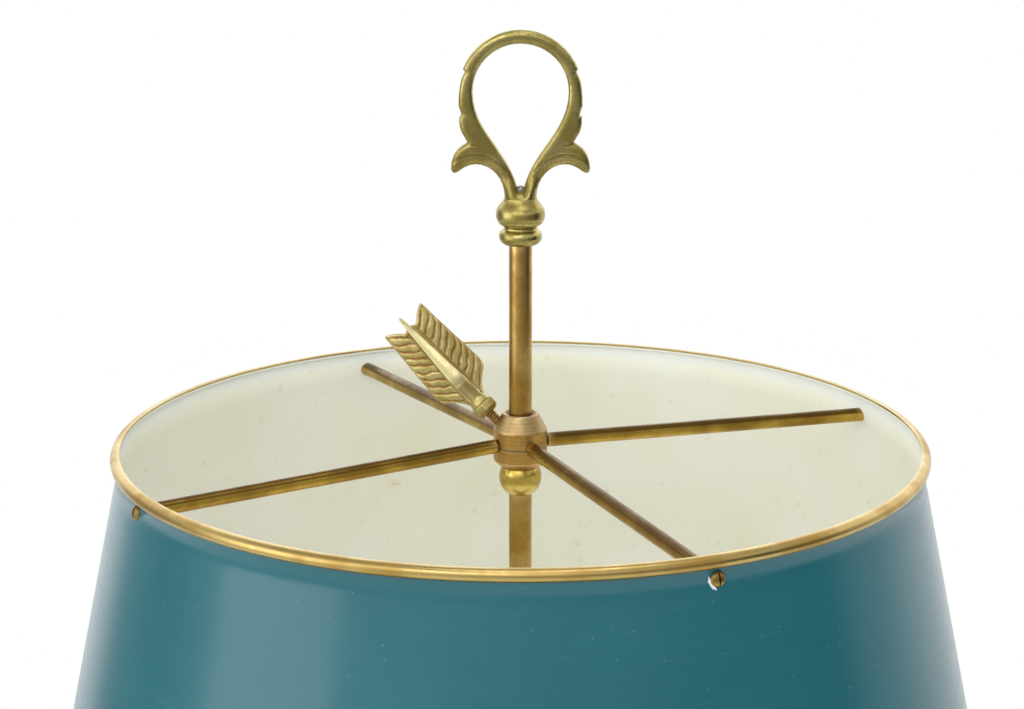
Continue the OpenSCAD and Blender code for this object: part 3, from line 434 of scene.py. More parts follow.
def node_copy(node: str) -> BMesh:
    """Copies a node's mesh and merges its loose triangles.

    Args:
        node: The node's name.

    Returns:
        The copy, in metres.
    """
    bm = bmesh.new()
    bm.from_mesh(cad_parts[node].data)
    bmesh.ops.remove_doubles(bm, verts=bm.verts, dist=2e-6)
    return bm


def node_axis(node: str) -> Vector:
    """Returns the point on the floor under the middle of a node's box."""
    low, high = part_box(node)
    return Vector(((low.x + high.x) / 2, (low.y + high.y) / 2, 0))


def move(bm: BMesh, place: Matrix) -> None:
    """Moves a whole mesh by a matrix."""
    bmesh.ops.transform(bm, matrix=place, verts=bm.verts)


def close_up(bm: BMesh, gap: float) -> None:
    """Merges a mesh's doubles and turns all its normals outward.

    Args:
        bm: The mesh.
        gap: The distance up to which vertices are merged.
    """
    bmesh.ops.remove_doubles(bm, verts=bm.verts, dist=gap)
    bmesh.ops.recalc_face_normals(bm, faces=bm.faces)


def cut(bm: BMesh, point: Vector, normal: Vector, inner: bool = False, outer: bool = False) -> None:
    """Cuts a mesh with a plane.

    Args:
        bm: The mesh.
        point: A point of the plane.
        normal: The plane's normal.
        inner: Whether the part behind the plane goes.
        outer: Whether the part in front of it goes.
    """
    bmesh.ops.bisect_plane(bm, geom=bm.verts[:] + bm.edges[:] + bm.faces[:], dist=1e-7, plane_co=point,
                           plane_no=normal, clear_inner=inner, clear_outer=outer)


def shorten_edges(bm: BMesh, longest: float) -> None:
    """Divides the long edges of an outline.

    Args:
        bm: The outline.
        longest: The longest edge that stays whole, in the mesh's unit.
    """
    for edge in bm.edges[:]:
        cuts = int(edge.calc_length() / longest)
        if cuts:
            bmesh.ops.subdivide_edges(bm, edges=[edge], cuts=cuts)


def bevel(bm: BMesh, edges: Iterable[BMEdge], width: float, segments: int = 1) -> None:
    """Bevels some edges of a mesh.

    Args:
        bm: The mesh.
        edges: The edges.
        width: The bevel's width.
        segments: The bevel's segments.
    """
    bmesh.ops.bevel(bm, geom=list(edges), offset=width, offset_type="OFFSET", segments=segments, profile=0.5,
                    affect="EDGES", material=-1, clamp_overlap=False)


def soften(bm: BMesh, width: float, angle: float = 28.0, segments: int = 2) -> None:
    """Bevels the sharp edges that have room for it.

    Args:
        bm: The mesh.
        width: The bevel's width.
        angle: The least angle between two faces that counts as sharp, in degrees.
        segments: The bevel's segments.
    """
    bm.normal_update()
    picked = []
    for edge in bm.edges:
        if len(edge.link_faces) != 2 or edge.calc_face_angle(0) < math.radians(angle):
            continue
        room = min(face.calc_area() for face in edge.link_faces) / max(edge.calc_length(), 1e-9)
        if room > 2.2 * width:
            picked.append(edge)
    if picked:
        bevel(bm, picked, width, segments)


def spin(
    bm: BMesh, steps: int, angle: float = math.tau, centre: Sequence = (0, 0, 0), axis: Sequence = UP,
    rise: float = 0.0,
) -> None:
    """Spins an outline into a surface.

    Args:
        bm: The outline's edges.
        steps: Steps of the whole spin.
        angle: The spin's angle in radians; a single whole turn closes.
        centre: A point of the axis.
        axis: The axis's direction.
        rise: Rise of each step.
    """
    bmesh.ops.spin(bm, geom=bm.verts[:] + bm.edges[:], cent=centre, axis=axis, dvec=(0, 0, rise),
                   angle=angle, steps=steps, use_merge=angle == math.tau, use_duplicate=False)


def wire(bm: BMesh, points: Sequence[tuple[float, float]], closed: bool = False) -> None:
    """Adds an outline to a bmesh.

    Args:
        bm: The mesh.
        points: X and Z of each corner, mm.
        closed: Whether the last point joins the first.
    """
    made = [bm.verts.new((x, 0, z)) for x, z in points]
    for first, second in zip(made, made[1:] + made[:1] if closed else made[1:]):
        bm.edges.new((first, second))


def lathe(points: Sequence[tuple[float, float]], steps: int, stretch: float = 0.0) -> BMesh:
    """Spins an outline round the Z axis.

    Args:
        points: Radius and height of each corner of the outline, mm.
        steps: Steps of a whole turn.
        stretch: Longest straight stretch, mm, or nought for any length.

    Returns:
        The closed mesh in mm.
    """
    bm = bmesh.new()
    wire(bm, points)
    if stretch:
        shorten_edges(bm, stretch)
    spin(bm, steps)
    close_up(bm, 1e-4)
    return bm


def join(target: BMesh, part: BMesh, place: Matrix | None = None) -> None:
    """Adds a part to another mesh.

    Args:
        target: The mesh that gets it.
        part: The part; it is freed.
        place: Where the part is moved to first.
    """
    if place is not None:
        move(part, place)
    mesh = bpy.data.meshes.new("part")
    part.to_mesh(mesh)
    part.free()
    target.from_mesh(mesh)
    bpy.data.meshes.remove(mesh)


def put(name: str, data: ID) -> Object:
    """Makes an object in the scene.

    Args:
        name: Its name.
        data: Its mesh, lamp or camera.

    Returns:
        The object.
    """
    made = bpy.data.objects.new(name, data)
    bpy.context.scene.collection.objects.link(made)
    return made


def put_mesh(name: str, bm: BMesh, *looks: Material) -> Object:
    """Makes an object of a mesh.

    Args:
        name: The object's name.
        bm: Its mesh, which is freed.
        *looks: Its materials.

    Returns:
        The object.
    """
    mesh = bpy.data.meshes.new(name)
    bm.to_mesh(mesh)
    bm.free()
    for look in looks:
        mesh.materials.append(look)
    return put(name, mesh)


def finish_piece(
    bm: BMesh, name: str, body: str, finishes: Sequence[Finish], replaces: Iterable[str] = (),
    smooth: float = 32.0,
) -> Object:
    """Makes an object of a mesh, dresses it and lets it ride.

    Args:
        bm: The finished mesh in metres; it is freed.
        name: The piece's name.
        body: The body that it rides on.
        finishes: One finish for each material number of the faces.
        replaces: The nodes that it stands for.
        smooth: The angle in degrees from which an edge stays sharp.

    Returns:
        The new object.
    """
    piece = put_mesh(name, bm, *(finish.material() for finish in finishes))
    piece.data.polygons.foreach_set("use_smooth", [True] * len(piece.data.polygons))
    piece.data.set_sharp_from_angle(angle=math.radians(smooth))
    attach(piece, body)
    if replaces:
        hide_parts(*replaces)
    return piece


def dress(finish: Finish, *nodes: str) -> None:
    """Gives nodes' own objects a finish.

    Args:
        finish: The finish.
        *nodes: The nodes' names.
    """
    for node in nodes:
        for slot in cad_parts[node].material_slots:
            slot.material = finish.material()


# ---- Castings ----

FOOT_BAND = 0.05  # mm above a casting's lowest level that belong to its foot
RUBBED_BAND = 0.9  # mm from a casting's edge over which it is rubbed
WALL_STEPS = ((0.55, 0.7), (0.0, 0.3))  # share of the height kept, and of the crown given back


def distances(points: np.ndarray, segments: np.ndarray) -> np.ndarray:
    """Returns each point's distance to the nearest of some segments.

    Args:
        points: One row of two coordinates for each point.
        segments: Two ends of two coordinates for each segment.

    Returns:
        One distance for each point.
    """
    start, along = segments[:, 0], segments[:, 1] - segments[:, 0]
    offset = points[:, None, :] - start[None]
    share = (offset * along[None]).sum(2) / np.maximum((along * along).sum(1), 1e-12)[None]
    nearest = start[None] + np.clip(share, 0, 1)[..., None] * along[None]
    return np.sqrt(((points[:, None, :] - nearest) ** 2).sum(2)).min(1)


def gridded_face(bm: BMesh, cell: float, rings: Sequence[float]) -> np.ndarray:
    """Fills a closed outline in the XZ plane and cuts its inside into a grid.

    Args:
        bm: The outline's edges, mm.
        cell: Size of the grid, mm.
        rings: Widths of the bands along the edge, mm.

    Returns:
        X and Z of both ends of each edge of the outline.
    """
    outline = np.array([[(v.co.x, v.co.z) for v in e.verts] for e in bm.edges])
    bmesh.ops.triangle_fill(bm, use_beauty=True, edges=bm.edges[:], normal=(0, -1, 0))
    inner = bm.faces[:]
    for ring in rings:
        bmesh.ops.inset_region(bm, faces=inner, use_boundary=True, use_even_offset=False, thickness=ring)
    for axis, places in ((0, outline[:, :, 0]), (2, outline[:, :, 1])):
        level, highest = float(places.min()) + cell, float(places.max())
        while level < highest:
            point, normal = Vector(), Vector()
            point[axis], normal[axis] = level, 1.0
            parts = [*inner, *(e for f in inner for e in f.edges), *(v for f in inner for v in f.verts)]
            made = bmesh.ops.bisect_plane(bm, geom=list(dict.fromkeys(parts)), dist=1e-4, plane_co=point,
                                          plane_no=normal)
            inner = [g for g in made["geom"] if isinstance(g, BMFace)]
            level += cell
    return outline


def rounded_wall(bm: BMesh, crown: float, foot: float | None) -> None:
    """Sets the edge of a face back and carries it round to the XZ plane.

    Args:
        bm: The face, in front of the XZ plane, mm.
        crown: How far the edge is set back from the middle of the wall, mm.
        foot: Level up to which the edge stands on another piece and so isn't set back, mm.
    """

    def spot(vert: BMVert) -> tuple[float, float]:
        """Returns a vertex's rounded place in the outline's plane."""
        return round(vert.co.x, 4), round(vert.co.z, 4)

    def corners(edges: Iterable[BMEdge]) -> list[BMVert]:
        """Returns each vertex of some edges once."""
        return list(dict.fromkeys(v for e in edges for v in e.verts))

    border = [e for e in bm.edges if e.is_boundary]
    ways = {}
    for side in border:
        first, second = side.verts
        outward = Vector((second.co.z - first.co.z, 0, first.co.x - second.co.x)).normalized()
        if outward.dot(side.link_faces[0].calc_center_median() - first.co) > 0:
            outward.negate()
        for vert in side.verts:
            ways[spot(vert)] = ways.get(spot(vert), Vector()) + outward
    if foot is not None:
        ways = {place: Vector() if place[1] < foot else way for place, way in ways.items()}
    for vert in corners(border):
        way = ways.pop(spot(vert)).normalized() * crown
        vert.co -= way
        ways[spot(vert)] = way
    for kept, given_back in WALL_STEPS:
        made = bmesh.ops.extrude_edge_only(bm, edges=border)
        border = [g for g in made["geom"] if isinstance(g, BMEdge)]
        moved = {}
        for vert in corners(border):
            way = ways.get(spot(vert), Vector())
            vert.co.y *= kept
            vert.co += way * given_back
            moved[spot(vert)] = way
        ways = moved


def relief_plate(
    bm: BMesh, cell: float, rings: Sequence[float],
    height: Callable[[float, float, float], tuple[float, float]], crown: float, open_below: bool = False,
) -> None:
    """Makes a closed outline in the XZ plane a casting with relief on both faces.

    Args:
        bm: The outline's edges, mm.
        cell: Size of the grid that the faces are cut into, mm.
        rings: Widths of the bands along the edge, mm.
        height: Gives half the thickness and the depth of a groove at x, z and a distance from the edge.
        crown: How far the edge of each face is set back from the middle of the wall, mm.
        open_below: Whether the lowest edge stands on another piece and so isn't rounded.
    """
    outline = gridded_face(bm, cell, rings)
    foot = float(outline[:, :, 1].min()) + FOOT_BAND if open_below else None
    if open_below:
        outline = outline[(outline[:, :, 1] > foot).any(1)]
    away = distances(np.array([(v.co.x, v.co.z) for v in bm.verts]), outline)
    groove = bm.verts.layers.float.new("groove")
    rubbed = bm.verts.layers.float.new("rubbed")
    for vert, gap in zip(bm.verts[:], away):
        half, vert[groove] = height(vert.co.x, vert.co.z, float(gap))
        vert[rubbed] = 1 - smoothstep(float(gap) / RUBBED_BAND)
        vert.co.y = -half
    rounded_wall(bm, crown, foot)
    bmesh.ops.mirror(bm, geom=bm.verts[:] + bm.edges[:] + bm.faces[:], matrix=Matrix.Identity(4),
                     merge_dist=1e-4, axis="Y")
    close_up(bm, 0.012)


# ---- Sub-assemblies ----


@dataclass
class Turned:
    """A turned piece: a node's own outline, spun round its upright axis with softened edges.

    Attributes:
        node: The node whose outline is taken and which the piece stands for.
        finish: The finish of its whole surface.
        steps: Steps of a whole turn.
        edge: Width of the softened edges, mm.
        stretch: Longest straight stretch of the outline, mm.
        body: The body that it rides on.
        slot: Name of a material slot; not used.
    """

    node: str
    finish: Finish
    steps: int
    edge: float
    stretch: float
    body: str = "stand"
    slot: str = "aged_brass"

    def mesh(self) -> BMesh:
        """Spins the node's outline and softens its edges.

        Returns:
            The closed mesh, in metres.
        """
        bm = node_copy(self.node)
        centre = node_axis(self.node)
        cut(bm, centre, Vector((1, 0, 0)), inner=True)
        cut(bm, centre, Vector((0, 1, 0)), inner=True, outer=True)
        bmesh.ops.remove_doubles(bm, verts=bm.verts, dist=5e-6)
        if self.stretch:
            shorten_edges(bm, self.stretch * MM)
        spin(bm, self.steps, centre=centre)
        close_up(bm, 4e-6)
        if self.edge:
            soften(bm, self.edge * MM)
        return bm

    def build(self, bm: BMesh | None = None, *inner: Finish) -> Object:
        """Makes the piece.

        Args:
            bm: Its mesh where that was worked on further.
            *inner: The finishes of the faces with a material number of one and more.

        Returns:
            The piece.
        """
        return finish_piece(bm or self.mesh(), self.node + "_turned", self.body, [self.finish, *inner],
                            [self.node])


@dataclass
class Shade:
    """The painted shade with its rim mouldings.

    Attributes:
        steps: Steps of a whole turn.
        band: Height of the straight band under the rim, mm.
        bare: Height of the bare brass on the inner wall of the upper moulding, mm.
        wall: How far a face's normal may rise or fall on a wall, from nought to one.
        inward: How far a face's normal points to the axis on an inner wall, from nought to one.
    """

    steps: int = 256
    band: float = 6.5
    bare: float = 1.0
    wall: float = 0.9
    inward: float = 0.8

    def shell(self) -> Object:
        """Makes the sheet: enamel outside, ivory inside, a whiter turned band at its top.

        Returns:
            The sheet.
        """
        bm = Turned("shade_shell", Surface.TEAL.value, self.steps, 0.0, 12.0).mesh()
        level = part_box("shade_shell")[1].z - self.band * MM
        bm.normal_update()
        for face in bm.faces:
            middle = face.calc_center_median()
            if face.normal.xy.dot(middle.xy) < 0 or abs(face.normal.z) > self.wall:
                face.material_index = 2 if middle.z > level else 1
        looks = [Surface.TEAL.value, Surface.IVORY.value, Surface.IVORY_BAND.value]
        return finish_piece(bm, "shade_sheet", "shade", looks, ["shade_shell"])

    def mouldings(self) -> list[Object]:
        """Makes the brass mouldings; the inside's paint reaches up the upper one's inner wall.

        Returns:
            The upper and the lower one.
        """
        upper, lower = (Turned(node, Brass.RIM.value, self.steps, 0.0, 0.0, "shade", "rim_brass")
                        for node in ("top_rim_ring", "bottom_rim_ring"))
        bm = upper.mesh()
        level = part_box(upper.node)[1].z - self.bare * MM
        cut(bm, Vector((0, 0, level)), UP)
        bm.normal_update()
        for face in bm.faces:
            middle = face.calc_center_median()
            if middle.z < level and face.normal.xy.dot(middle.xy.normalized()) < -self.inward:
                face.material_index = 1
        return [upper.build(bm, Surface.IVORY_BAND.value), lower.build()]

    def build(self) -> list[Object]:
        """Makes every piece of the shade."""
        return [self.shell(), *self.mouldings()]


@dataclass
class Hub:
    """The two halves of the hub that carries the spokes.

    Attributes:
        steps: Steps of a whole turn.
        seam: Height of the joint between the halves, mm.
        seam_t: Half the height of the dirt in the joint, mm.
        sink_level: Height above which the countersink lies, mm.
        sink_r: Radius of the countersink, mm.
    """

    steps: int = 160
    seam: float = 517.6
    seam_t: float = 0.12
    sink_level: float = 529.5
    sink_r: float = 7.2

    def half(self, node: str) -> Object:
        """Makes one half of the hub, with dirt in the joint and the countersink darkened.

        Args:
            node: The node that it stands for.

        Returns:
            The half.
        """
        turned = Turned(node, Brass.HUB.value, self.steps, 0.3, 0.8, "shade", "hub_brass")
        bm = turned.mesh()
        groove = bm.verts.layers.float.new("groove")
        for vert in bm.verts:
            level, radius = vert.co.z / MM, vert.co.xy.length / MM
            joint = 1 - smoothstep((abs(level - self.seam) - self.seam_t) / 0.1)
            # The countersink is darkened with the recess colour.
            sunk = smoothstep((level - self.sink_level) / 0.5) * smoothstep((self.sink_r - radius) / 0.5)
            vert[groove] = max(joint, 0.75 * sunk)
        return turned.build(bm)

    def build(self) -> list[Object]:
        """Makes both halves."""
        return [self.half(node) for node in ("hub_upper", "hub_lower")]


@dataclass
class Rod:
    """The rod with its stop bead, and the finial's collar and knob."""

    def build(self) -> list[Object]:
        """Makes the tubes, the bead, the collar and the knob.

        Returns:
            The pieces.
        """
        return [
            *(Turned(node, Brass.ROD.value, 96, 0.3, 4.0, slot="rod_brass").build()
              for node in ("lower_tube", "upper_tube")),
            Turned("stop_bead", Brass.BEAD.value, 128, 0.0, 0.6, "stop_bead").build(),
            *(Turned(node, Brass.FINIAL.value, 128, 0.25, 0.8).build()
              for node in ("finial_collar", "finial_knob")),
        ]


@dataclass
class Base:
    """Foot, dish, plinth and column."""

    def build(self) -> list[Object]:
        """Makes the turned pieces and dresses the pierced and fluted ones.

        Returns:
            The turned pieces.
        """
        dress(Brass.FITTING.value, "gallery_ring", "fluted_column", "cluster_body", "switch_nut",
              "switch_knob", "arm_1", "arm_2", "arm_3")
        dress(Surface.IRON.value, "base_weight")
        dress(Surface.BUSHING.value, "cord_bushing")
        dress(Surface.PHENOLIC.value, "switch_body")
        dress(Surface.STEEL.value, "base_washer", "pipe_nuts", "lamp_pipe", "arm_nipples", "core_rod")
        return [
            *(Turned(node, Brass.BASE.value, 160, 0.35, 2.5).build()
              for node in ("base_dish", "plinth", "column_base", "capital", "cluster_cap")),
            Turned("felt_pad", Surface.FELT.value, 128, 0.3, 6.0, slot="felt").build(),
        ]


@dataclass
class Light:
    """One candle light: pan, cup, sleeve, lampholder and bulb.

    Attributes:
        number: The light's number.
        loop_r: Radius of the filament's loop, mm.
        wire_r: Radius of its wire, mm.
        rise: Height of the loop's middle above the stem, mm.
        lead: Distance of each of its leads from the axis, mm.
        start: Angle at which the loop starts, degrees.
        sweep: Angle that it covers, degrees.
    """

    number: int
    loop_r: float = 4.6
    wire_r: float = 0.16
    rise: float = 6.5
    lead: float = 1.6
    start: float = 40.0
    sweep: float = 260.0

    def filament(self) -> Object:
        """Makes the wire loop that stands on the bulb's stem.

        Returns:
            The filament.
        """
        axis = node_axis(f"bulb_glass_{self.number}")
        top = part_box("bulb_stems")[1].z
        bm = bmesh.new()
        bmesh.ops.create_circle(bm, segments=6, radius=self.wire_r,
                                matrix=Matrix.Translation((self.loop_r, 0, 0)) @ swing(90, "X"))
        move(bm, swing(self.start, "Y"))
        spin(bm, 40, math.radians(self.sweep), axis=(0, 1, 0))
        bmesh.ops.holes_fill(bm, edges=[e for e in bm.edges if e.is_boundary])
        for side in (-self.lead, self.lead):
            lead = bmesh.new()
            bmesh.ops.create_cone(lead, cap_ends=True, segments=6, radius1=self.wire_r, radius2=self.wire_r,
                                  depth=self.rise)
            join(bm, lead, Matrix.Translation((side, 0, -self.rise / 2)))
        bmesh.ops.recalc_face_normals(bm, faces=bm.faces)
        move(bm, Matrix.Translation(axis + Vector((0, 0, top + self.rise * MM))) @ FROM_MM)
        return finish_piece(bm, f"bulb_filament_{self.number}", "stand", [Surface.TUNGSTEN.value])

    def build(self) -> list[Object]:
        """Makes the light's turned pieces and dresses the others.

        Returns:
            The pieces that the script makes.
        """
        n = self.number
        dress(Surface.PHENOLIC.value, f"lampholder_{n}")
        dress(Surface.NICKEL.value, f"bulb_cap_{n}")
        dress(Surface.GLASS.value, "bulb_stems")
        return [
            Turned(f"drip_pan_{n}", Brass.BASE.value, 96, 0.3, 2.0).build(),
            Turned(f"candle_cup_{n}", Brass.BASE.value, 96, 0.3, 2.0).build(),
            Turned(f"candle_sleeve_{n}", Surface.SLEEVE.value, 96, 0.3, 5.0, slot="sleeve").build(),
            Turned(f"bulb_glass_{n}", Surface.GLASS.value, 96, 0.0, 3.0, slot="glass").build(),
            self.filament(),
        ]


@dataclass
class Spider:
    """The four spokes and the screws that hold the shade on them.

    Attributes:
        level: Height where the spokes' axes meet the rod's, mm.
        droop: Angle of the spokes below level, degrees.
        first: Direction of the first spoke, degrees.
        radius: Radius of a spoke, mm.
        chamfer: Width of the chamfer at its shoulder, mm.
        tenon: Start of its tenon and how much thinner that is on each side, mm.
        shoulder: Distance of its shoulder from the rod's axis, mm.
        blank: Length before it is cut to the sheet's slope, mm.
        end: Radius and height where a spoke meets the sheet, mm.
        lean: Lean of the sheet, degrees.
        sheet: Thickness of the sheet, mm.
        slot: Half the width and the floor of a screw's slot, mm.
        slot_turns: Turn of each screw's slot, degrees.
    """

    level: float = 518.8
    droop: float = 2.86
    first: float = 25.6
    radius: float = 3.15
    chamfer: float = 0.45
    tenon: tuple[float, float] = (7.0, 0.75)
    shoulder: float = 12.05
    blank: float = 190.0
    end: tuple[float, float] = (174.88, 510.06)
    lean: float = 11.81
    sheet: float = 0.6
    slot: tuple[float, float] = (0.42, 0.8)
    slot_turns: tuple[float, ...] = (90, 97, 84, 92)

    def direction(self, number: int) -> Matrix:
        """Returns the turn from the X axis to a spoke."""
        return swing(self.first + 90 * number, "Z")

    def end_frame(self, number: int) -> Matrix:
        """Gives a frame whose Z axis stands square on the sheet at a spoke's end.

        Args:
            number: The spoke's number, from nought.

        Returns:
            The frame, in metres.
        """
        radius, height = self.end
        end = Matrix.Translation((radius, 0, height)) @ swing(90 - self.lean, "Y")
        return FROM_MM @ self.direction(number) @ end

    def spoke(self, number: int) -> Object:
        """Makes a spoke: a chamfered rod with a thinner tenon at the hub, cut to the sheet's slope.

        Args:
            number: The spoke's number, from nought.

        Returns:
            The spoke.
        """
        r, start, blank = self.radius, self.shoulder, self.blank
        inner, thinner = self.tenon
        bm = lathe([(0, inner), (r - thinner, inner), (r - thinner, start), (r - self.chamfer, start),
                    (r, start + self.chamfer), (r, blank), (0, blank)], 48, 2.5)
        along = self.direction(number) @ swing(90 + self.droop, "Y")
        move(bm, FROM_MM @ Matrix.Translation((0, 0, self.level)) @ along)
        end = self.end_frame(number)
        cut(bm, end.translation, end.to_3x3() @ UP, outer=True)
        bmesh.ops.holes_fill(bm, edges=[e for e in bm.edges if e.is_boundary])
        node = f"spoke_{number + 1}"
        return finish_piece(bm, node + "_rod", "shade", [Brass.SPOKE.value], [node])

    def screw(self) -> BMesh:
        """Makes the mesh of a domed screw with its slot.

        Returns:
            The mesh, its seat at the origin, mm.
        """
        half, floor = self.slot
        bm = lathe([(0, 1.8), (0.8, 1.77), (1.6, 1.6), (2.35, 1.25), (2.9, 0.75), (3.2, 0.2), (3.2, 0),
                    (1.45, 0), (1.45, -4.5), (0, -4.8)], 40)
        for side in (-half, half):
            cut(bm, Vector((side, 0, 0)), Vector((1, 0, 0)))
        cut(bm, Vector((0, 0, floor)), UP)
        middles = ((face, face.calc_center_median()) for face in bm.faces)
        strip = [face for face, middle in middles if abs(middle.x) < half and middle.z > floor]
        sunk = bmesh.ops.extrude_face_region(bm, geom=strip)
        bmesh.ops.delete(bm, geom=strip, context="FACES")
        for vert in (g for g in sunk["geom"] if isinstance(g, BMVert)):
            vert.co.z = floor
        bmesh.ops.remove_doubles(bm, verts=bm.verts, dist=1e-4)
        bmesh.ops.dissolve_degenerate(bm, edges=bm.edges, dist=1e-4)
        bmesh.ops.recalc_face_normals(bm, faces=bm.faces)
        return bm

    def screws(self) -> Object:
        """Makes the four screws.

        Returns:
            The screws, as one piece.
        """
        whole = bmesh.new()
        seat = Matrix.Translation((0, 0, self.sheet * math.cos(math.radians(self.lean)) + 0.02))
        for number, turn in enumerate(self.slot_turns):
            join(whole, self.screw(), self.end_frame(number) @ seat @ swing(turn, "Z"))
        return finish_piece(whole, "shade_screw_heads", "shade", [Brass.SCREW.value], ["shade_screws"])

    def build(self) -> list[Object]:
        """Makes the spokes and the screws."""
        return [*(self.spoke(number) for number in range(4)), self.screws()]


@dataclass
class ArrowKey:
    """The clamping key shaped like an arrow's tail: thread, six-sided boss, shaft and three vanes.

    Attributes:
        level: Height where the key's axis meets the rod's, mm.
        turn: Direction of the key, degrees.
        slope: Slope of the key above level, degrees.
        roll: Turn of the vanes about the key's axis, degrees.
        boss: Start and end of the boss along the axis, mm.
        boss_r: Radius over the boss's corners, mm.
        boss_bevels: Widths of its chamfers at the start and at the end, mm.
        vane_from: Start of the vanes, mm.
        vane_l: Length of the vanes, mm.
        vane_r: Radius over the vanes, mm.
        front_t: Thickness of the vanes in front, mm.
        tail_t: Thickness of the vanes at their tails, mm.
        nose_l: Length of the vanes' rounded noses, mm.
        fall: Fall of a vane's face towards its edge, mm.
        nose_fall: The same at its nose, as a share of half the thickness.
        barb: Distance of the engraved barbs, mm.
        engraving: Their depth, mm.
        pitch: Distance of the thread's ridges, mm.
        thread_from: Middle of the thread's first ridge along the axis, mm.
        thread_turns: Turns of the thread.
    """

    level: float = 517.2
    turn: float = 160.6
    slope: float = 43.2
    roll: float = 113.0
    boss: tuple[float, float] = (19.55, 25.15)
    boss_r: float = 6.2
    boss_bevels: tuple[float, float] = (1.5, 0.9)
    vane_from: float = 30.15
    vane_l: float = 41.0
    vane_r: float = 13.8
    front_t: float = 7.6
    tail_t: float = 1.3
    nose_l: float = 12.0
    fall: float = 0.55
    nose_fall: float = 0.72
    barb: float = 4.1
    engraving: float = 0.5
    pitch: float = 1.25
    thread_from: float = 8.6
    thread_turns: int = 13

    def place(self, roll: float = 0.0) -> Matrix:
        """Returns the key's frame in metres, its Z axis along the key."""
        tilt = swing(self.turn, "Z") @ swing(90 - self.slope, "Y") @ swing(roll, "Z")
        return FROM_MM @ Matrix.Translation((0, 0, self.level)) @ tilt

    def vane_relief(self, x: float, z: float, gap: float) -> tuple[float, float]:
        """Gives a vane's shape at a place.

        Args:
            x: Distance from the key's axis, mm.
            z: Distance from the start of the vanes, mm.
            gap: Distance from the vane's edge, mm.

        Returns:
            Half the thickness, mm, and how far the place lies in a groove, from nought to one.
        """
        share = min(max(z / (self.vane_l + 5), 0.0), 1.0)
        half = 0.5 * (self.front_t + (self.tail_t - self.front_t) * share)
        nose = 1 - smoothstep((z + 1) / self.nose_l)
        fall = self.fall + (self.nose_fall * half - self.fall) * nose if x > 1.0 else 0.0
        half -= fall * (1 - rounding(gap / (0.8 + 2.4 * nose))) * min(1.0, half / 1.2)
        wobble = 0.25 * noise.noise(Vector((x * 0.25, 3.1, z * 0.25)))
        step = (z - 2.2 - 0.62 * (x - 4.5) - 0.02 * (x - 4.5) ** 2) / self.barb + wobble
        beat = abs(step - math.floor(step) - 0.5) * 2
        inside = smoothstep((x - 2.7) / 0.8) * smoothstep((gap - 0.9) / 0.7)
        groove = smoothstep((beat - 0.55) / 0.3) * inside * smoothstep((self.vane_l + 3.4 - z) / 2)
        half = max(half - min(self.engraving, 0.45 * half) * groove, 0.2)
        root = 0.8 * smoothstep((x - 1.0) / 0.8) * smoothstep((3.1 - x) / 0.8)
        return half, max(groove, root)

    def vane(self) -> BMesh:
        """Makes the mesh of a vane with its barbs.

        Returns:
            The mesh, mm.
        """
        length = self.vane_l
        outline = [(0, -3.0), (0.27, -2.8), (0.34, -1.2), (0.45, 0.8), (0.59, 2.8), (0.74, 4.4), (0.87, 5.6),
                   (0.95, 7.0), (0.985, 8.6), (1, 10.6), (0.985, 0.45 * length), (0.94, 0.9 * length),
                   (0.925, length + 4.2), (0.91, length + 4.9), (0.87, length + 5), (0.74, length + 4.2),
                   (0.6, length + 3.1), (0.45, length + 1.6), (0.31, length - 0.2), (0, length - 1)]
        bm = bmesh.new()
        wire(bm, [(share * self.vane_r, level) for share, level in outline], closed=True)
        shorten_edges(bm, 1.2)
        relief_plate(bm, cell=0.42, rings=(0.3, 0.4), height=self.vane_relief, crown=0.35)
        return bm

    def boss_mesh(self) -> BMesh:
        """Makes the mesh of the six-sided boss with its chamfers.

        Returns:
            The mesh, mm.
        """
        low, high = self.boss
        bm = bmesh.new()
        bmesh.ops.create_circle(bm, cap_ends=True, segments=6, radius=self.boss_r)
        move(bm, Matrix.Translation((0, 0, low)))
        made = bmesh.ops.extrude_face_region(bm, geom=bm.faces[:])
        bmesh.ops.translate(bm, verts=[g for g in made["geom"] if isinstance(g, BMVert)],
                            vec=(0, 0, high - low))
        bmesh.ops.recalc_face_normals(bm, faces=bm.faces)
        for level, width in zip(self.boss, self.boss_bevels):
            bevel(bm, [e for e in bm.edges if all(abs(v.co.z - level) < 1e-3 for v in e.verts)], width)
        move(bm, swing(30, "Z"))
        soften(bm, 0.28, segments=3)
        return bm

    def arrow(self) -> Object:
        """Makes boss, neck, shaft and vanes.

        Returns:
            The casting.
        """
        low, high = self.boss
        tail = self.vane_from + self.vane_l
        shaft = lathe([(0, low + 9), (2.05, low + 9), (2.05, low), (3.9, low), (4.4, low + 0.5),
                       (4.5, low + 1), (4.5, high - 1.2), (4.6, high - 0.6), (4.62, high),
                       (4.45, high + 0.8), (4.2, high + 1.8), (4.02, high + 3), (3.93, high + 4.4),
                       (3.8, high + 6), (3.2, high + 12), (2.0, tail - 0.5), (1.7, tail), (0, tail)],
                      steps=64, stretch=0.8)
        whole = bmesh.new()
        whole.verts.layers.float.new("groove")
        join(whole, shaft)
        join(whole, self.boss_mesh())
        for number in range(3):
            join(whole, self.vane(), swing(120 * number, "Z") @ Matrix.Translation((0, 0, self.vane_from)))
        move(whole, self.place(self.roll))
        return finish_piece(whole, "arrow_key_casting", "key", [Brass.ARROW.value], ["arrow_key"],
                            smooth=40)

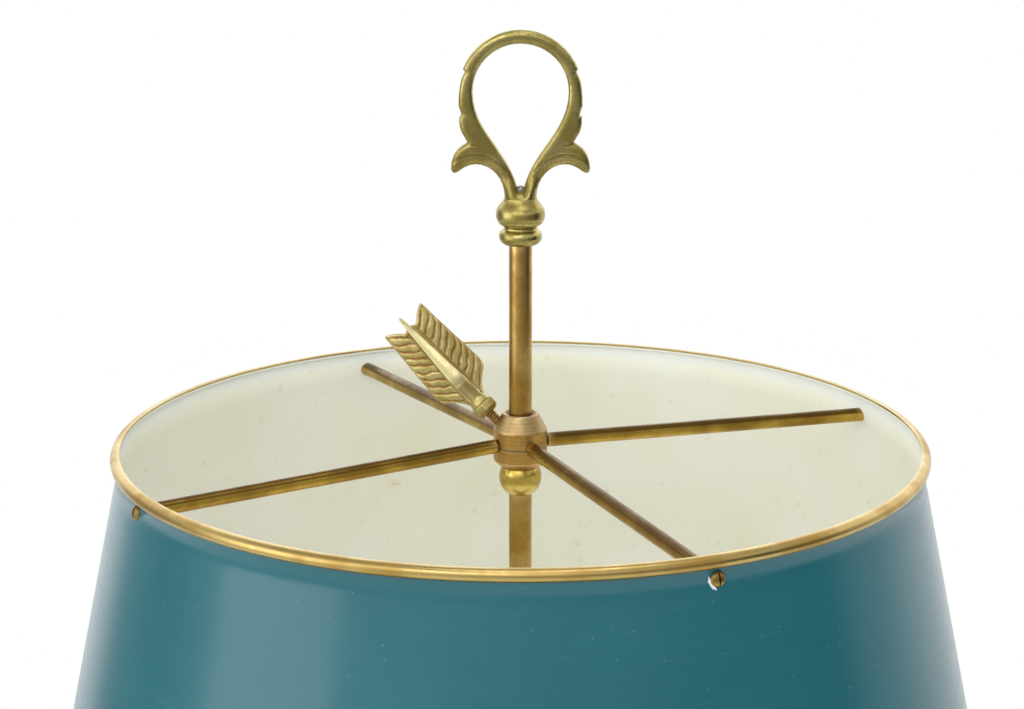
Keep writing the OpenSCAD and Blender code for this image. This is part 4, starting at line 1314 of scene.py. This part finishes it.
    def stud(self) -> Object:
        """Makes the threaded stud: a ridge wound on a core.

        Returns:
            The stud.
        """
        start, steps = self.thread_from, 36
        bm = bmesh.new()
        wire(bm, [(2.02, start - self.pitch / 2), (2.4, start - 0.12), (2.4, start + 0.12),
                  (2.02, start + self.pitch / 2)])
        spin(bm, steps * self.thread_turns, math.tau * self.thread_turns, rise=self.pitch / steps)
        close_up(bm, 1e-3)
        join(bm, lathe([(0, 7.5), (0.6, 7.5), (2.0, 9.2), (2.0, 27.0), (0, 27.5)], 36))
        move(bm, self.place())
        return finish_piece(bm, "key_stud_thread", "key", [Brass.THREAD.value], ["key_stud"])

    def build(self) -> list[Object]:
        """Makes the arrow and its stud."""
        return [self.arrow(), self.stud()]


@dataclass
class LoopHandle:
    """The cast loop on the finial, with leaf lobes and two leaf tips.

    Attributes:
        centre: Height of the loop's centre, mm.
        half: Half the casting's thickness, mm.
        edge: Half thickness at its edge, mm.
        foot: Radius of the round foot, mm.
        section: How far behind the node's middle its outline is taken, mm.
        step: How far the leaf's face lies under the rest near the engraved arc, mm.
        engraving: Depth of the arc and the crease, mm.
        arc: Distance of the arc from the line under the right leaf tip, mm.
        under: That line, from the loop's centre, mm.
        fold: The crease over that leaf tip, mm.
    """

    centre: float = 673.3
    half: float = 2.7
    edge: float = 0.7
    foot: float = 6.9
    section: float = -2.45
    step: float = 0.55
    engraving: float = 0.32
    arc: float = 4.7
    under: tuple[tuple[float, float], ...] = (
        (28.7, -35.1), (26.6, -34.4), (24, -32.7), (21, -31.6), (18.1, -31.5), (14.9, -32.6), (11.6, -34.5),
        (8.7, -37.7), (7.3, -41), (6.9, -44.3))
    fold: tuple[tuple[float, float], ...] = ((23.4, -21.8), (21.4, -22.6), (19.2, -22.6))

    def relief(self, x: float, z: float, gap: float) -> tuple[float, float]:
        """Gives the casting's shape at a place.

        Args:
            x: Distance to the right of the loop's centre, mm.
            z: Distance above it, mm.
            gap: Distance from the casting's edge, mm.

        Returns:
            Half the thickness, mm, and how far the place lies in a groove, from nought to one.
        """
        here = np.array([(abs(x), z)])
        below, crease = (float(distances(here, np.stack([np.array(line[:-1]), np.array(line[1:])], 1))[0])
                         for line in (self.under, self.fold))
        leaf = smoothstep((-18 - z) / 8) * smoothstep((z + 44) / 5)
        half = self.edge + (self.half - self.edge) * rounding(gap / self.half)
        half -= self.step * leaf * smoothstep((4.6 - below) / 4.2)
        groove = max(leaf * math.exp(-(((below - self.arc) / 0.42) ** 2)), math.exp(-((crease / 0.4) ** 2)))
        foot = smoothstep((-35.5 - z) / 9.5)
        half += foot * (self.foot * rounding(gap / self.foot) - half)
        return max(half - self.engraving * groove * (1 - foot), 0.3), groove * (1 - foot)

    def build(self) -> list[Object]:
        """Makes the casting from the node's own outline.

        Returns:
            The casting.
        """
        bm = node_copy("loop_handle")
        cut(bm, Vector((0, self.section * MM, 0)), Vector((0, 1, 0)), inner=True, outer=True)
        bmesh.ops.remove_doubles(bm, verts=bm.verts, dist=5e-6)
        move(bm, Matrix.Translation((0, 0, -self.centre)) @ Matrix.Scale(1 / MM, 4))
        for vert in bm.verts:
            vert.co.y = 0
        shorten_edges(bm, 1.3)
        relief_plate(bm, cell=0.7, rings=(0.28, 0.45), height=self.relief, crown=0.25, open_below=True)
        move(bm, FROM_MM @ Matrix.Translation((0, 0, self.centre)))
        return [finish_piece(bm, "loop_handle_casting", "stand", [Brass.CAST.value], ["loop_handle"],
                             smooth=45)]


# ---- Studio ----


@dataclass(frozen=True)
class Camera:
    """The camera, above the rim and a little to the left of the rod.

    Attributes:
        distance: From the rod along the floor, m.
        height: Above the floor, m.
        pitch: Below level, degrees.
        turn: To the left of the rod, degrees.
        focal_pixels: Focal length in pixels of the render.
    """

    distance: float = 1.179
    height: float = 0.86306
    pitch: float = 14.5
    turn: float = 0.178
    focal_pixels: float = 2806.0

    def build(self) -> Object:
        """Makes the camera and makes it the scene's own.

        Returns:
            The camera.
        """
        data = bpy.data.cameras.new("camera")
        data.sensor_width = SENSOR_WIDTH
        data.lens = self.focal_pixels / IMAGE_WIDTH * SENSOR_WIDTH
        data.clip_start, data.clip_end = 0.01, 100.0
        made = put("camera", data)
        made.location = (0, -self.distance, self.height)
        made.rotation_euler = (math.radians(90 - self.pitch), 0, math.radians(self.turn))
        bpy.context.scene.camera = made
        return made


@dataclass(frozen=True)
class SoftBox:
    """An area lamp.

    Attributes:
        name: The lamp's name.
        place: Where it stands, m.
        size: Width and height, m.
        power: Power, W.
        target: The point that it faces, m.
    """

    name: str
    place: tuple[float, float, float]
    size: tuple[float, float]
    power: float
    target: tuple[float, float, float] = (0, 0, 0.5)

    def build(self) -> Object:
        """Makes the lamp.

        Returns:
            The lamp.
        """
        data = bpy.data.lights.new(self.name, "AREA")
        data.shape = "RECTANGLE"
        data.size, data.size_y = self.size
        data.energy = self.power
        made = put(self.name, data)
        made.location = self.place
        made.rotation_euler = (Vector(self.target) - Vector(self.place)).to_track_quat("-Z", "Y").to_euler()
        return made


@dataclass(frozen=True)
class Studio:
    """White room, soft boxes and a pale floor.

    Attributes:
        ambient: The room's light on dull surfaces, from its left to its right.
        around: What shiny surfaces see round the room: share of a turn from the back, and brightness.
        share: The factor on that from straight below to straight above.
        above: What is added to it, also from straight below to straight above.
        floor_r: Radius of the floor, m.
        fade: Distances from the lamp at which the floor begins and ends to fade, m.
    """

    ambient: tuple[float, float] = (1.15, 0.8)
    around: tuple[tuple[float, float], ...] = (
        (0.0, 1.4), (0.097, 1.35), (0.15, 0.45), (0.2, 0.3), (0.25, 0.78), (0.3, 0.92), (0.4, 0.96),
        (0.5, 0.55), (0.57, 0.4), (0.65, 0.2), (0.74, 0.02), (0.79, 0.75), (0.863, 1.25), (1.0, 1.4))
    share: tuple[tuple[float, float], ...] = (
        (0.0, 0.55), (0.32, 0.75), (0.45, 0.9), (0.575, 1.0), (0.65, 1.0), (0.75, 0.7), (0.9, 0.1))
    above: tuple[tuple[float, float], ...] = (
        (0.58, 0.0), (0.7, 0.65), (0.82, 0.7), (0.92, 0.4), (1.0, 0.3))
    floor_r: float = 1.4
    fade: tuple[float, float] = (0.45, 0.95)

    def room(self) -> None:
        """Makes the world: white to the camera, and darker on the camera's side to shiny surfaces."""
        world = bpy.data.worlds.new("white_room")
        bpy.context.scene.world = world
        node = partial(add, empty_tree(world))
        camera, glossy, through = (node("LightPath", out=f"Is {kind} Ray")
                                   for kind in ("Camera", "Glossy", "Transmission"))
        way = node("TexCoord", out="Generated")
        east, north, rise = (node("SeparateXYZ", (way,), out=axis) for axis in "XYZ")
        south = node("Math", (north, -1.0), operation="MULTIPLY")
        turn = node("MapRange", (node("Math", (east, south), operation="ARCTAN2"), -math.pi, math.pi))
        rise = node("MapRange", (rise, -1.0, 1.0))
        ambient = node("MapRange", (east, -0.9, 0.9, *self.ambient))
        shades = []
        for value, stops in ((turn, self.around), (rise, self.share), (rise, self.above)):
            shades.append(node("ValToRGB", (value,)))
            ramp = shades[-1].node.color_ramp
            ramp.interpolation = "EASE"
            for _ in stops[2:]:
                ramp.elements.new(0.5)
            for element, (place, bright) in zip(ramp.elements, stops):
                element.position = place
                element.color = (bright, bright, bright, 1.0)
        shiny = node("Math", shades, operation="MULTIPLY_ADD")
        seen = node("Math", (camera, through), operation="MAXIMUM")
        light = node("Mix", {0: seen, 2: ambient, 3: 1.0})
        light = node("Mix", {0: glossy, 2: light, 3: shiny})
        node("OutputWorld", {"Surface": node("Background", (WHITE, light))})

    def floor(self) -> Object:
        """Makes the floor: pale under the lamp, fading to the white of the room.

        Returns:
            The floor.
        """
        material = bpy.data.materials.new("pale_floor")
        node = partial(add, empty_tree(material))
        place = node("TexCoord", out="Object")
        reach = node("VectorMath", (place,), out="Value", operation="LENGTH")
        fade = node("MapRange", (reach, *self.fade), interpolation_type="SMOOTHSTEP")
        pale = node("BsdfDiffuse", {"Color": srgb("#f2f2f0")})
        white = node("Emission", {"Color": WHITE, "Strength": 1.0})
        node("OutputMaterial", {"Surface": node("MixShader", (fade, pale, white))})
        bm = bmesh.new()
        bmesh.ops.create_circle(bm, cap_ends=True, segments=96, radius=self.floor_r)
        made = put_mesh("floor", bm, material)
        return made

    def build(self) -> None:
        """Makes room, floor and lamps."""
        self.room()
        self.floor()
        SoftBox("key_soft_box", (-0.5, -1.7, 2.0), (1.7, 1.3), 11.0).build()
        SoftBox("side_soft_box", (-2.0, -0.95, 0.75), (1.5, 1.5), 11.0).build()
        SoftBox("top_soft_box", (0.2, -0.3, 2.4), (1.2, 1.0), 9.0).build()


def main() -> None:
    """Builds the camera, the studio and every sub-assembly in order."""
    logging.basicConfig(level=logging.INFO, format="%(name)s: %(message)s")
    bpy.context.scene.view_settings.view_transform = "Standard"
    Camera().build()
    Studio().build()
    assemblies = [Shade(), Hub(), Rod(), Spider(), ArrowKey(), LoopHandle(), Base(),
                  *(Light(number) for number in (1, 2, 3))]
    for assembly in assemblies:
        for piece in assembly.build():
            LOG.info("%s: %d faces", piece.name, len(piece.data.polygons))


if __name__ == "__main__":
    main()
